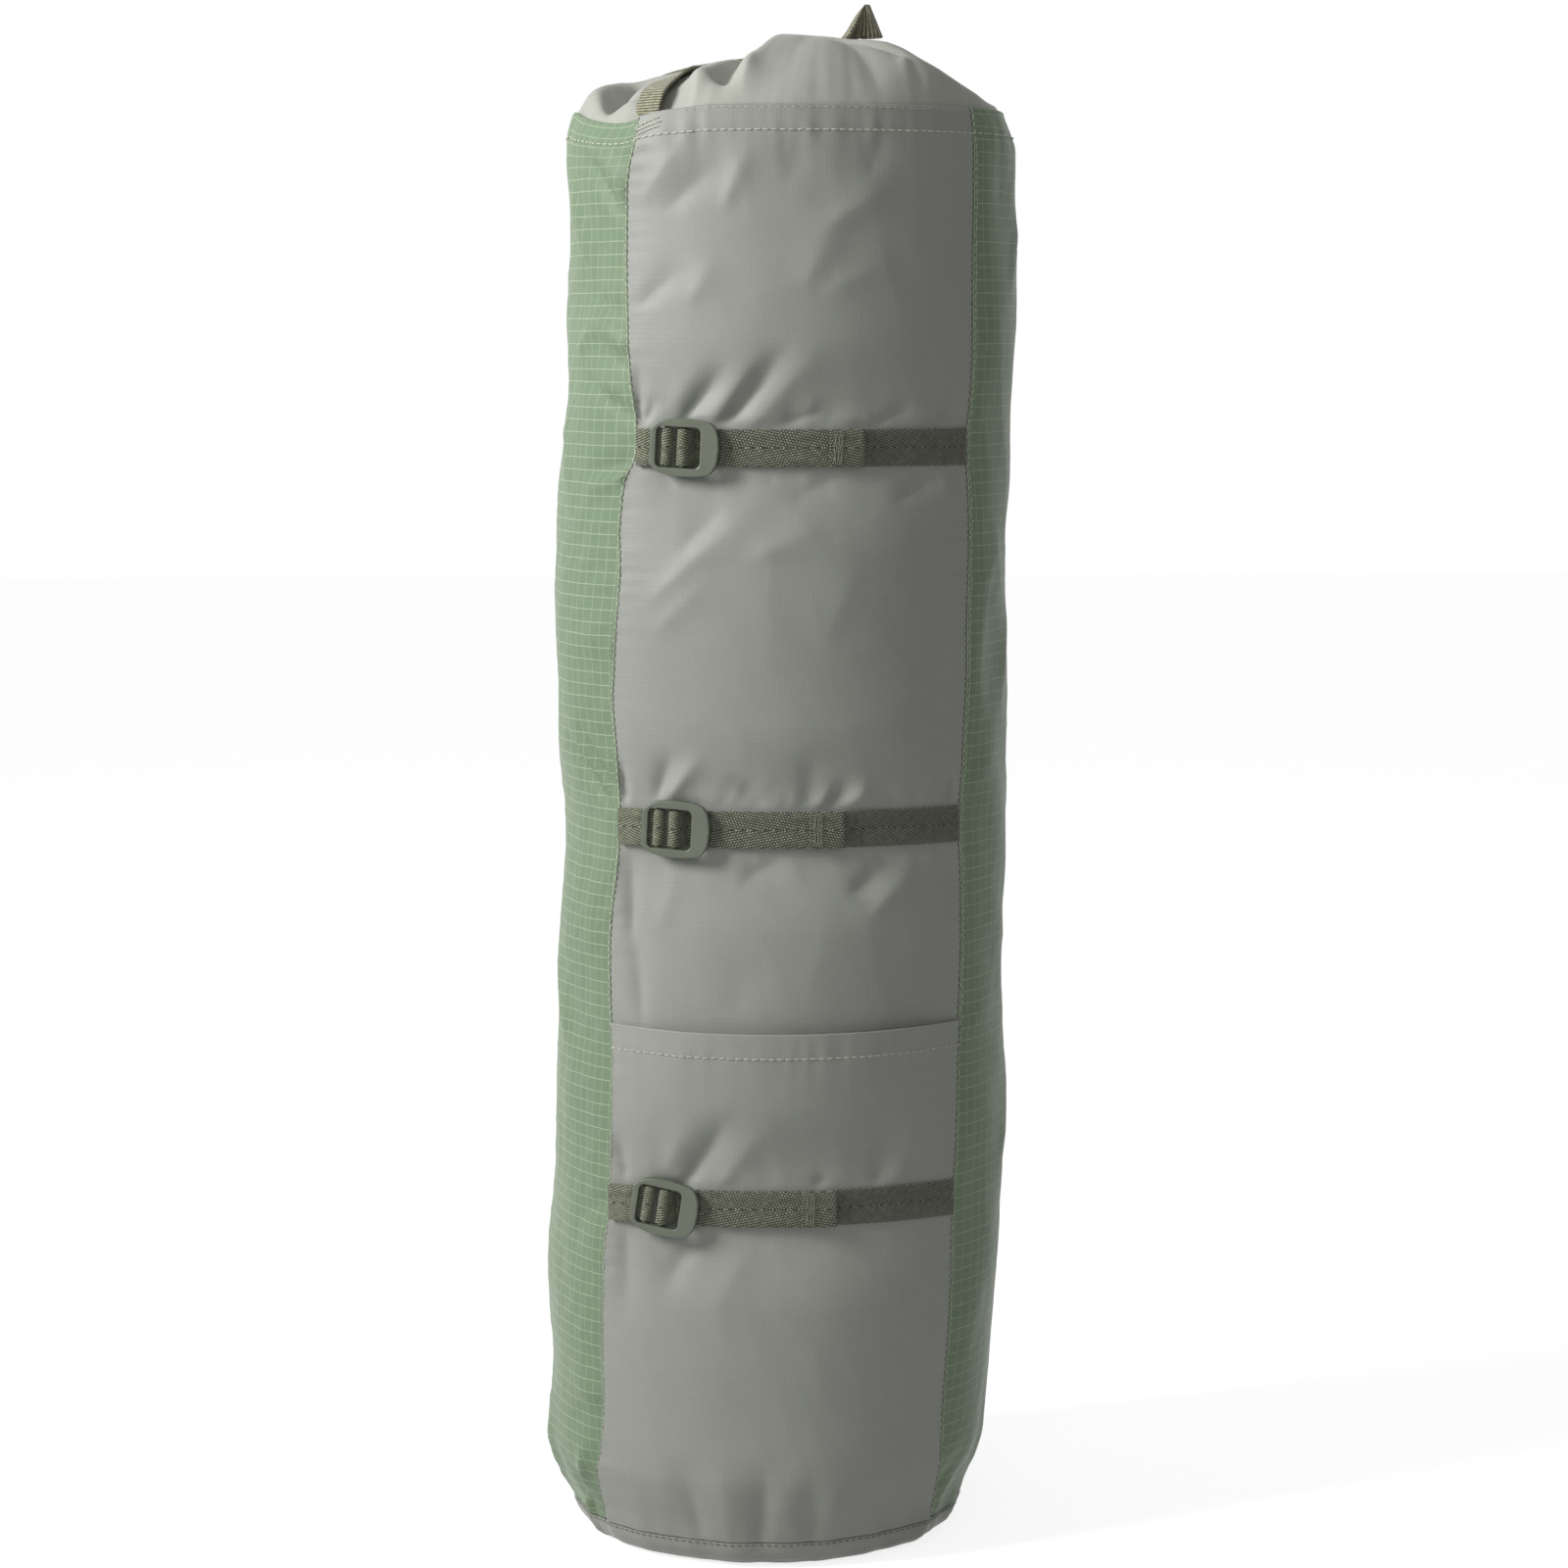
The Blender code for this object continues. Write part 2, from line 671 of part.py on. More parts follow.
def rolled_cloth(name, inner_radius, layer, turns, material):
    shape = bmesh.new()
    shape.faces.new([shape.verts.new(p) for p in roll_outline(inner_radius, layer, turns)])
    raise_faces(shape, (0, 0, contents_height))
    mesh = bpy.data.meshes.new(name)
    shape.to_mesh(mesh)
    shape.free()
    thing = add_object(name, mesh, material, tent)
    thing.parent = contents
    thing.location.z = floor_gap
    return inner_radius + (layer + roll_gap) * turns + layer


def turned_profile(name, profile):
    """A closed outline of (radius, height) points, down its outer side first, to be turned round Z."""
    shape = bmesh.new()
    spots = [shape.verts.new((radius, 0, height)) for radius, height in profile]
    for spot, following in zip(spots, spots[1:] + spots[:1]):
        shape.edges.new((spot, following))
    mesh = bpy.data.meshes.new(name)
    shape.to_mesh(mesh)
    shape.free()
    return mesh


def turned_piece(name, profile, sides):
    thing = add_object(name, profile, pole_metal, tent)
    thing.parent = contents
    turning = thing.modifiers.new("turning", "SCREW")
    turning.steps = turning.render_steps = sides
    turning.use_merge_vertices = True
    turning.merge_threshold = 0.00001
    return thing


def pole_places(side):
    """Axes of a folded pole's sections: a ring of six and one in the middle."""
    ring = [math.radians(60 * k) for k in range(pole_sections - 1)]
    centre = Vector((side * bundle_x, pole_y, 0))
    return [centre + pole_pitch * Vector((math.cos(t), math.sin(t), 0)) for t in ring] + [centre]


def build_poles():
    bore = pole_radius - pole_wall
    ferrule = bore - ferrule_fit
    core = ferrule - ferrule_wall
    outline = [
        (ferrule, pole_length + ferrule_length),
        (ferrule, pole_length),
        (pole_radius, pole_length),
        (pole_radius, 0),
        (bore, 0),
        (bore, pole_length - ferrule_inside),
        (core, pole_length - ferrule_inside),
        (core, pole_length + ferrule_length),
    ]
    profile = turned_profile("pole_section", outline)
    for number, side in ((1, -1), (2, 1)):
        route = []
        for k, axis in enumerate(pole_places(side)):
            upright = k % 2 == 0
            thing = turned_piece(f"pole_{number}_section_{k + 1}", profile, 10)
            thing.location = axis + Vector((0, 0, pole_bottom))
            if not upright:
                thing.rotation_euler = (math.pi, 0, 0)
                thing.location.z += pole_length
            ends = [pole_bottom, pole_bottom + pole_length + ferrule_length]
            if not upright:
                ends = [pole_bottom + pole_length, pole_bottom - ferrule_length]
            if route:
                route += cord_bridge(route[-1], Vector((axis.x, axis.y, ends[0])), upright)
            route += [Vector((axis.x, axis.y, h)) for h in ends]
        shock_cord(f"pole_{number}_shock_cord", route)


def cord_bridge(start, stop, at_bottom):
    """The stretch of cord that crosses from one section's end to the next one's."""
    way = -1 if at_bottom else 1
    level = max(start.z * way, stop.z * way) * way + way * cord_slack
    middle = Vector(((start.x + stop.x) / 2, (start.y + stop.y) / 2, level))
    half = Vector((stop.x - start.x, stop.y - start.y, 0)) / 2
    points = []
    for step in range(5):
        around = math.pi * step / 4
        rise = Vector((0, 0, way * half.length * math.sin(around)))
        points.append(middle - half * math.cos(around) + rise)
    return points


def shock_cord(name, route):
    curve = bpy.data.curves.new(name, "CURVE")
    curve.dimensions = "3D"
    curve.bevel_depth = cord_radius
    curve.bevel_resolution = 1
    curve.use_fill_caps = True
    line = curve.splines.new("POLY")
    line.points.add(len(route) - 1)
    for spot, place in zip(line.points, route):
        spot.co = (*place, 1)
    curve.materials.append(cord_black)
    thing = bpy.data.objects.new(name, curve)
    tent.objects.link(thing)
    thing.parent = contents


def build_pegs():
    """V pegs nested in a stack, with the spare pole sleeve over them, in their own sack."""
    open_bag("peg_sack", peg_sack_half, 5, peg_sack_y, peg_sack_bottom, peg_sack_height, sack_cloth)
    bottom = peg_sack_bottom + peg_rest
    for k in range(peg_count):
        rows = []
        for height, share in ((0, 0.2), (peg_point, 1.0), (peg_length, 1.0)):
            wing = peg_wing * share
            spine = Vector((0, peg_y + k * peg_pitch, bottom + height))
            rows.append([spine + Vector((-wing, wing, 0)), spine, spine + Vector((wing, wing, 0))])
        thing = cloth_piece(f"peg_{k + 1}", rows, peg_metal, peg_sheet, side=0)
        thing.parent = contents
    inner = sleeve_radius - sleeve_wall
    outline = [(sleeve_radius, sleeve_length), (sleeve_radius, 0), (inner, 0), (inner, sleeve_length)]
    sleeve = turned_piece("repair_sleeve", turned_profile("repair_sleeve", outline), 12)
    sleeve.location = (0, peg_sack_y, bottom + peg_length + peg_rest)


def build_contents():
    outer = rolled_cloth("inner_tent_roll", inner_roll_radius, inner_layer, inner_turns, inner_cloth)
    rolled_cloth("flysheet_roll", outer + roll_gap, fly_layer, fly_turns, fly_cloth)
    open_bag("pole_sack", pole_sack_half, 4, pole_y, pole_sack_bottom, pole_sack_height, sack_cloth)
    build_poles()
    build_pegs()


clear_scene()
tent = new_collection("packed_tent")
cutters = new_collection("cutters")
grey_cloth = finish_material("grey_ripstop", (0.25, 0.26, 0.23), 0.6)
collar_cloth = finish_material("collar_ripstop", (0.27, 0.28, 0.25), 0.6)
green_cloth = finish_material("green_ripstop", (0.24, 0.33, 0.23), 0.55)
webbing = finish_material("olive_webbing", (0.09, 0.09, 0.065), 0.8)
buckle_plastic = finish_material("buckle_plastic", (0.13, 0.15, 0.115), 0.45)
inner_cloth = finish_material("inner_tent_cloth", (0.62, 0.58, 0.42), 0.7)
fly_cloth = finish_material("flysheet_cloth", (0.22, 0.31, 0.21), 0.5)
sack_cloth = finish_material("small_sack_cloth", (0.12, 0.14, 0.11), 0.7)
pole_metal = finish_material("pole_metal", (0.55, 0.55, 0.56), 0.35, 1.0)
peg_metal = finish_material("peg_metal", (0.62, 0.62, 0.6), 0.4, 1.0)
cord_black = finish_material("shock_cord", (0.03, 0.03, 0.03), 0.7)

contents = add_pivot(
    "contents", Matrix.Translation((contents_x, middle_y, 0)) @ Matrix.Rotation(lean, 4, "Y")
)

build_tube()
build_base()
build_pocket()
build_collar()
build_handle()
build_straps()
build_contents()
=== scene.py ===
import math

import bmesh
import bpy
import numpy as np
from mathutils import Matrix, Vector, noise


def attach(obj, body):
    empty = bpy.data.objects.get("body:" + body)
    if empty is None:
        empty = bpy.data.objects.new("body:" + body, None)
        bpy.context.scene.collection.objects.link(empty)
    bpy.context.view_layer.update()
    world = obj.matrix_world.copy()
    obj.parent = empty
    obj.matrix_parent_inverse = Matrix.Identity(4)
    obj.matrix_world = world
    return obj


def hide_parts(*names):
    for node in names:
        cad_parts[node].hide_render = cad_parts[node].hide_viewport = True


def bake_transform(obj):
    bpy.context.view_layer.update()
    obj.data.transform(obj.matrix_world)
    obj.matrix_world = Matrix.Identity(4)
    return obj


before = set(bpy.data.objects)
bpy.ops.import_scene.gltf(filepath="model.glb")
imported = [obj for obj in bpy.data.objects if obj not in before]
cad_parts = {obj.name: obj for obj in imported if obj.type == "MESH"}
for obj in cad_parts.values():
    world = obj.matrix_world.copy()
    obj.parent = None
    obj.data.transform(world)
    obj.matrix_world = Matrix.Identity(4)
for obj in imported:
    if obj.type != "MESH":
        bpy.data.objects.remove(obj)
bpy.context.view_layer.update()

# ---------------------------------------------------------------------------------------------
# Front panel. Grey coated ripstop nylon, cut flat and sewn between the two long seams; the rolls
# inside fill it and the straps draw it in, so it puffs between them and folds towards them.
# Its top edge is turned in as a hem.
MM = 0.001
sack_height, sack_width, sack_depth = 587.0, 187.0, 168.0
sack_y = 3.2
squareness = 2.35  # at 2 the sack would be an ellipse in plan
base_seam, hem_depth = 12.0, 10.0
strap_heights = (454.5, 304.0, 151.5)
# height, and place along the front, of the hollow under each lock's window
lock_hollows = list(zip(strap_heights, (-42, -43.5, -46.5)))
pocket_mouth = 224.0
grey_step, green_step = 1.25, 2.3  # between the rows of points on each cloth
# share of the height, and where the long seams run there, in degrees from the middle of the front
seam_turns = [(0, 53), (0.0205, 51.5), (0.034, 50), (0.06, 47.5), (0.1, 45.3), (0.14, 44.8)]
# share of the height, and the sack's reach to the left and to the right, in halves of its width
reaches = np.array([
    (0, 0.890, 0.760), (0.0205, 0.938, 0.795), (0.034, 0.967, 0.820), (0.05, 1.010, 0.857),
    (0.068, 1.046, 0.893), (0.11, 1.054, 0.925), (0.18, 1.046, 0.949), (0.262, 1.030, 0.969),
    (0.354, 1.015, 0.967), (0.44, 0.995, 0.974), (0.522, 0.975, 0.981), (0.601, 1.004, 0.983),
    (0.664, 1.022, 0.975), (0.726, 0.992, 0.982), (0.775, 0.969, 0.990), (0.87, 0.934, 1.016),
    (0.931, 0.921, 1.008), (0.984, 0.934, 0.995), (1, 0.915, 0.979),
])
# height, and how far the straps and the filling pull each long seam in from its even line
left_pull = [
    (0, -4.8), (33, -4.8), (45, -2.9), (60, -2.3), (75, -2.8), (92, -3.7), (130, -4.1), (141, -3),
    (151.5, -1.5), (160, -1.8), (207, -2), (227, -3.6), (246, -4.9), (265, -5), (285, -3.1), (304, -2),
    (343, -2.3), (355, -2.4), (365, -1.1), (382, 1), (400, 2.4), (411, 1.8), (421, 0.5), (440, 1.2),
    (448, 4.2), (454.5, 6), (460, 5.3), (469, 4), (480, 1.5), (498, -0.9), (518, -2.4), (537, -3),
    (556, -2.4), (566, -0.3), (576, 2.4), (587, 2.9),
]
right_pull = [
    (0, 3.1), (52, 3.2), (71, 3), (91, 2.2), (110, 2.2), (151.5, 2.9), (162, 2.2), (188, 1.1), (207, 0.8),
    (246, -0.4), (285, 0.8), (304, 2.3), (325, 0.7), (343, -0.3), (365, -2), (382, -2.5), (400, -3),
    (421, -2.5), (440, -0.8), (448, 0.2), (454.5, 0.9), (480, -0.3), (518, 1.1), (556, -0.4),
    (576, -1.1), (587, -1),
]
# folds: where the crest starts (along the front from its middle, height), where it ends, its half
# width, and how far it stands out or is pressed in
pocket_folds = [
    (-24, 190, -40, 163, 4.8, -1.9), (-10, 186, -28, 161, 6, 1.1), (-41, 187, -49, 168, 5.5, 0.9),
    (39, 185, 35, 159, 4.4, -1.1), (52, 185, 43, 158, 5, 0.8), (-72, 179, -67, 162, 2.6, -1.5),
    (15, 163, 10, 159, 3, -1), (-67, 105, -67, 136, 4.4, -1.4), (-51, 115, -40, 136, 5.2, -1.5),
    (-32, 104, -20, 128, 9, 1), (-40, 45, -32, 15, 5.4, -1.3), (-5, 46, -8, 15, 5.4, -1.8),
    (13, 41, 13, 14, 4.8, -1.4), (23, 38, 21, 13, 5, 1), (-24, 52, -21, 15, 7, 0.9), (43, 41, 47, 13, 6, -0.8),
]
front_folds = [
    (-46, 575, -64, 554, 6, 1), (-33, 566, -53, 550, 6, -1.1), (-21, 573, -31, 551, 5, 1),
    (-1, 576, -7, 558, 7, -0.5), (31, 579, 26, 562, 5, -0.55), (36, 558, 10, 542, 8, 1.2),
    (10, 542, 0, 520, 8, 0.8), (33, 526, 11, 517, 7, 0.7), (-50, 525, -66, 512, 5, -0.8),
    (-36, 528, -45, 513, 6, 0.8), (-31, 486, -45, 467, 4.2, -2.1), (-8, 492, -29, 464, 4.6, -2.3),
    (-18, 490, -34, 466, 4.6, 1.1), (-38, 490, -52, 470, 6, 0.6), (5, 493, -18, 464, 6.4, 1.1),
    (10, 470, -6, 463, 2.6, -1), (43, 471, 30, 463, 2.6, -1), (-59, 473, -62, 464, 2, -1.2),
    (-68, 487, -64, 464, 2, -1.3), (69, 476, 57, 462, 3.4, -1.2), (-12, 436, -51, 400, 6.5, 1.1),
    (-28, 432, -43, 417, 5.5, -0.8), (12, 425, -14, 413, 6.5, 0.8), (22, 446, 2, 436, 5, -0.7),
    (62, 448, 44, 436, 4, -1.1), (-31, 405, -52, 385, 6, 0.8), (27, 415, 16, 385, 9, 0.5),
    (-51, 334, -56, 318, 4, -1.7), (-38, 333, -51, 317, 4, 1.6), (-26, 324, -13, 314, 3.5, -1.2),
    (20, 324, 14, 313, 4.2, -1.4), (29, 323, 20, 311, 4.6, 1.2), (7, 334, 4, 315, 6, -1),
    (40, 316, 37, 312, 2.4, -0.5), (-73, 330, -70, 314, 2, -1.6), (68, 324, 65, 313, 2.2, -1.4),
    (-68, 295, -69, 265, 3.6, -1.8), (-69, 270, -63, 232, 4.2, -1.4), (-6, 292, -20, 284, 5.5, -1.1),
    (41, 292, 25, 280, 5.5, -1.5), (48, 289, 33, 272, 7, 1.1), (-48, 290, -54, 267, 6, 0.7),
    (-20, 252, -23, 233, 9, -0.5),
]
# short sharp puckers where the straps bite
pucker_dice = np.random.default_rng(17)
strap_puckers = []
for strap_height, reach in zip(strap_heights, (66, 68, 70)):
    for side in (1, -1):
        place = -reach
        while place < reach:
            place += pucker_dice.uniform(6, 15)
            length, lean = pucker_dice.uniform(5, 13), pucker_dice.uniform(0.1, 0.9) * side
            tall = pucker_dice.choice([-1, 1]) * pucker_dice.uniform(0.15, 0.5)
            wide = pucker_dice.uniform(1.8, 3.6)
            far, near = strap_height + side * (8.5 + length), strap_height + side * 7.6
            strap_puckers.append((place + side * lean * length, far, place, near, wide, tall))


def ease(value):
    value = np.clip(value, 0.0, 1.0)
    return value * value * (3 - 2 * value)


def rounded(value, power=squareness):
    return np.sign(value) * np.abs(value) ** (2 / power)


def through(stations, place):
    """Smooth curve through (place, value) pairs, level beyond both ends."""
    x, y = np.array(stations, float).T
    place = np.clip(place, x[0], x[-1])
    k = np.clip(np.searchsorted(x, place) - 1, 0, len(x) - 2)
    before, after = np.maximum(k - 1, 0), np.minimum(k + 2, len(x) - 1)
    span = x[k + 1] - x[k]
    t = (place - x[k]) / span
    leaving = (y[k + 1] - y[before]) / (x[k + 1] - x[before]) * span
    arriving = (y[after] - y[k]) / (x[after] - x[k]) * span
    start = (2 * t**3 - 3 * t**2 + 1) * y[k] + (t**3 - 2 * t**2 + t) * leaving
    return start + (3 * t**2 - 2 * t**3) * y[k + 1] + (t**3 - t**2) * arriving


def pairs(first, second):
    """Two arrays spread over each other, as points of two numbers."""
    return np.stack(np.broadcast_arrays(first, second), -1)


def unit(vectors):
    return vectors / np.linalg.norm(vectors, axis=-1, keepdims=True)


def lengths_along(points):
    """Length of the way through the points, up to each of them."""
    return np.concatenate([[0], np.cumsum(np.linalg.norm(np.diff(points, axis=0), axis=1))])


def girth(height):
    """Middle and half of the sack's width at a height."""
    share = np.asarray(height, float) / sack_height
    left, right = [through(reaches[:, [0, side]], share) * sack_width / 2 for side in (1, 2)]
    return (right - left) / 2, (right + left) / 2


def seam_turn(height):
    """Where the long seams run, from the middle of the front round the sack."""
    return np.radians(through(seam_turns, np.asarray(height, float) / sack_height))


def drawn_in(height, share):
    """How far the long seam on that side of the front is drawn in, most of all at the straps."""
    height = np.asarray(height, float)
    return np.where(np.asarray(share) < 0, through(left_pull, height), through(right_pull, height))


def off_straps(height, half_band, fade):
    """0 where a strap holds the cloth, 1 where all of them are far enough away."""
    free = 1.0
    for strap_height in strap_heights:
        free = free * ease((np.abs(height - strap_height) - half_band) / fade)
    return free


def front_arc(height):
    """The front's arc at a height: its middle, the y of its centre, its radius and half angle."""
    middle, half = girth(height)
    seam_x = half * rounded(np.sin(seam_turn(height)))
    seam_y = sack_depth / sack_width * half * rounded(np.cos(seam_turn(height)))
    # the bulge of any filled sack, more between the straps and more again at the bottom
    sagitta = 17.6 * half / (sack_width / 2) + 5 * off_straps(height, 9, 34)
    sagitta = sagitta + 9 * (1 - ease(np.asarray(height) / 70))
    radius = (seam_x**2 + sagitta**2) / (2 * sagitta)
    return middle, sack_y - seam_y - sagitta + radius, radius, np.arcsin(seam_x / radius)


def fold_relief(along, up, folds):
    """How far a cloth's folds stand over its plain shape: each widens and dies away at its start."""
    relief = np.zeros(np.broadcast(along, up).shape)
    for along_0, up_0, along_1, up_1, wide, high in folds:
        run, climb = along_1 - along_0, up_1 - up_0
        length = math.hypot(run, climb)
        share = ((along - along_0) * run + (up - up_0) * climb) / length**2
        off = ((along - along_0) * climb - (up - up_0) * run) / length
        width = wide * (1.35 - 0.65 * np.clip(share, 0, 1))
        reach = ease((share + 0.25) / 0.8) * ease((1.35 - share) / 0.55)
        relief += high * reach * np.exp(-np.abs(off / width) ** 1.6)
    return relief


def wander(along, up, size, seed):
    """Smooth random value, about -1 to 1, that changes over size mm."""
    along, up = np.broadcast_arrays(np.asarray(along, float), np.asarray(up, float))
    spots = zip((along / size).ravel(), (up / size).ravel())
    return np.array([noise.noise((a, b, seed * 7.3)) for a, b in spots]).reshape(along.shape) * 1.6


def creased(along, up, size, seed):
    """Sharp little ridges between smooth dips, as thin coated cloth crumples."""
    bent = along + 0.4 * up
    return 0.6 - np.abs(wander(bent, up * 0.7, size, seed))


def seam_puckers(along, distance, pitch, reach, seed):
    """Little gathers that a row of stitches draws into the cloth beside it."""
    return wander(along, 0 * np.asarray(distance), pitch, seed) * np.exp(-np.abs(distance) / reach)


def unevenness(relief, up, share, along, edge, top, sizes, seed, strap_seeds):
    """Adds to a grey panel's folds its fine creases, its slow swells and its stitches' puckers."""
    crease, swell, swell_high, hem_high, hem_reach = sizes
    relief += 0.3 * creased(along, up, crease, seed + 1) * ease(edge / 9)
    relief += swell_high * wander(along, up, swell, seed + 2) * ease(edge / 16)
    relief += 0.35 * seam_puckers(up, edge, 4.2, 7, seed + 3 + share.mean())
    relief += hem_high * seam_puckers(along, up - (top - hem_depth), 5.0, hem_reach, seed + 5)
    for strap_height, strap_seed in strap_seeds:
        relief += 0.5 * seam_puckers(along, np.abs(up - strap_height) - 7, 8.0, 8, strap_seed)
    return relief + 0.5 * seam_puckers(along, up - base_seam, 9.0, 12, 6)


def under_locks(up, along, places):
    """The hollow that the webbing presses into the cloth beneath a lock's window."""
    deep, half_long, half_high = 5.0, 6.2, 8.8
    hollow = 0.0
    for strap_height, place in places:
        across, above = (along - place) / half_long, (up - strap_height) / half_high
        hollow = hollow + deep * np.exp(-(across**4) - above**4)
    return hollow


def front_relief(up, share, along, edge):
    """How far the front stands over its arc; behind the pocket it lies back and is pressed in."""
    relief = 1.3 * fold_relief(along, up, front_folds) + fold_relief(along, up, strap_puckers)
    seeds = [(strap_height, strap_height) for strap_height in strap_heights]
    relief = unevenness(relief, up, share, along, edge, sack_height, (21, 44, 0.6, 0.35, 8), 0, seeds)
    behind_pocket = ease((pocket_mouth - 4 - up) / 14)
    pressed_in = np.minimum(1.2 * fold_relief(along, up, pocket_folds), 0) - 0.3
    relief = relief * (1 - 0.8 * behind_pocket) + pressed_in * behind_pocket
    relief = relief * off_straps(up, 6.5, 6) * ease(edge / 1.5)
    return relief - under_locks(up, along, lock_hollows)


def hem_dip(up, place):
    """How far the top hem sags by the handle's root; place runs from the left seam along the front."""
    sag = [(-46, 0), (-38, 2.2), (-23, 4.9), (-12, 6.2), (-5, 5.8), (0, 4.6), (6.5, 3), (14, 1.8)]
    sag += [(21, 1.3), (32, 0)]
    return through(sag, place) * ease((up - 558) / 29)


def front_surface(up, share, out, relief=front_relief):
    """Points on the outer face of the front, with its folds; share runs from seam to seam."""
    up, share = np.broadcast_arrays(np.asarray(up, float), np.asarray(share, float))
    middle, centre_y, radius, half_angle = front_arc(up)
    half_angle = half_angle - 0.15 / radius
    angle = (half_angle - drawn_in(up, share) / radius) * share
    along, edge = radius * angle, radius * half_angle * (1 - np.abs(share))
    reach = radius + out + relief(up, share, along, edge)
    dip = hem_dip(up, radius * half_angle + along)
    points = (middle + reach * np.sin(angle), centre_y - reach * np.cos(angle), up - dip)
    return np.stack(points, -1), along


def placed(name, data):
    """A new object in the scene."""
    thing = bpy.data.objects.new(name, data)
    bpy.context.scene.collection.objects.link(thing)
    return thing


def worked_mesh(thing):
    """The mesh that an object's modifiers make of it."""
    bpy.context.view_layer.update()
    return bpy.data.meshes.new_from_object(thing.evaluated_get(bpy.context.evaluated_depsgraph_get()))


def cloth_mesh(name, grid, weave, material, ring=False):
    """A surface through a grid of points, with the threads' own lengths along it as its UV map."""
    rows, columns = grid.shape[:2]
    corner = np.arange(rows * columns).reshape(rows, columns)
    quads = np.stack([corner[:-1, :-1], corner[:-1, 1:], corner[1:, 1:], corner[1:, :-1]], -1).reshape(-1, 4)
    spot, points = quads, grid.reshape(-1, 3)
    if ring:
        spot = quads // columns * (columns - 1) + quads % columns % (columns - 1)
        points = grid[:, :-1].reshape(-1, 3)
    mesh = bpy.data.meshes.new(name)
    mesh.from_pydata((points * MM).tolist(), [], spot.tolist())
    threads = mesh.uv_layers.new(name="weave")
    threads.data.foreach_set("uv", (weave.reshape(-1, 2)[quads.ravel()] * MM).astype(np.float32).ravel())
    mesh.shade_smooth()
    mesh.materials.append(material)
    return placed(name, mesh)


# height over the hem's edge and distance out: over the top edge and down inside
hem_turn = [(0.1, -0.12), (0.3, -0.5), (0.1, -0.9), (-0.6, -1.0), (-4, -1.0), (-hem_depth, -1.0)]


def hemmed_cloth(name, surface, top, step, cloth):
    """A panel from the base seam up to its hem; surface gives its points at a height and an offset."""
    rise = np.concatenate([np.arange(base_seam, top - 0.6, step), [top - 0.6]])[:, None]
    grid, along = surface(rise, 0.0)
    hem = [surface(top - 0.4 + up, out)[0][0] for up, out in hem_turn]
    lengths = np.concatenate([rise[:, 0], [top + 0.5 + 1.2 * k for k in range(len(hem))]])
    along = np.concatenate([along, np.repeat(along[-1:], len(hem), 0)])
    return cloth_mesh(name, np.concatenate([grid, hem]), pairs(along, lengths[:, None]), cloth)


def paint(red, green, blue):
    """A colour as seen on the screen, in linear light."""
    shades = [v / 255 for v in (red, green, blue)]
    return (*[v / 12.92 if v <= 0.04045 else ((v + 0.055) / 1.055) ** 2.4 for v in shades], 1.0)


def toned(colour, *shares):
    """A colour with its red, green and blue multiplied."""
    return (*[c * share for c, share in zip(colour, shares)], 1.0)


def wire(tree, kind, *values, **settings):
    """Adds a node, sets or links its inputs, in order or by name, and gives its first output."""
    node = tree.nodes.new(kind)
    for key, value in settings.items():
        setattr(node, key, value)
    named = values and isinstance(values[0], dict)
    for key, value in values[0].items() if named else enumerate(values):
        if isinstance(value, bpy.types.NodeSocket):
            tree.links.new(value, node.inputs[key])
        elif value is not None:
            node.inputs[key].default_value = value
    return node.outputs[0]


def calc(way, *values):
    """One step of arithmetic in the tree that the values belong to."""
    tree = next(value.id_data for value in values if isinstance(value, bpy.types.NodeSocket))
    return wire(tree, "ShaderNodeMath", *values, operation=way)


def times(first, second):
    return calc("MULTIPLY", first, second)


def ramp(value, low, high, start=0.0, stop=1.0):
    """Carries the range from low to high on to the one from start to stop, held at its ends."""
    return wire(value.id_data, "ShaderNodeMapRange", value, low, high, start, stop)


def between(share, first, second):
    """A colour that goes from the first to the second as the share goes from 0 to 1."""
    return wire(share.id_data, "ShaderNodeMixRGB", share, first, second)


def finish(name, roughness, **fixed):
    """A new material and its shader, with the shader's even settings."""
    material = bpy.data.materials.new(name)
    material.use_nodes = True
    shader = material.node_tree.nodes["Principled BSDF"]
    for key, value in {"Roughness": roughness, **fixed}.items():
        shader.inputs[key.replace("_", " ")].default_value = value
    return material, shader


def dress(shader, colour, height, strength, distance):
    """Gives a shader its colour, and its fine relief as bump."""
    tree = shader.id_data
    tree.links.new(colour, shader.inputs["Base Color"])
    bump = wire(tree, "ShaderNodeBump", {"Strength": strength, "Distance": distance, "Height": height})
    tree.links.new(bump, shader.inputs["Normal"])


def weave_axes(shader):
    """Lengths across and along the cloth, in mm, from its own UV map."""
    spot = wire(shader.id_data, "ShaderNodeUVMap", uv_map="weave")
    axes = shader.id_data.nodes.new("ShaderNodeSeparateXYZ")
    shader.id_data.links.new(spot, axes.inputs[0])
    return spot, [times(axes.outputs[k], 1000.0) for k in (0, 1)]


def object_spot(shader):
    """The place on the piece itself, so the grain stays with it when it moves."""
    return shader.id_data.nodes.new("ShaderNodeTexCoord").outputs["Object"]


def thread_line(place, pitch, width):
    """1 on the thick threads of the grid, 0 between them."""
    share = calc("FRACT", calc("DIVIDE", place, pitch))
    off = calc("ABSOLUTE", calc("MULTIPLY_ADD", share, 2.0, -1.0))
    return ramp(off, 1 - 2 * width / pitch, 1 - 0.4 * width / pitch)


def grain(spot, scales, detail=2.0):
    """Noise from 0 to 1 with its own size across and along."""
    stretched = wire(spot.id_data, "ShaderNodeMapping", {"Vector": spot, "Scale": scales})
    return wire(spot.id_data, "ShaderNodeTexNoise", stretched, None, 1.0, detail)


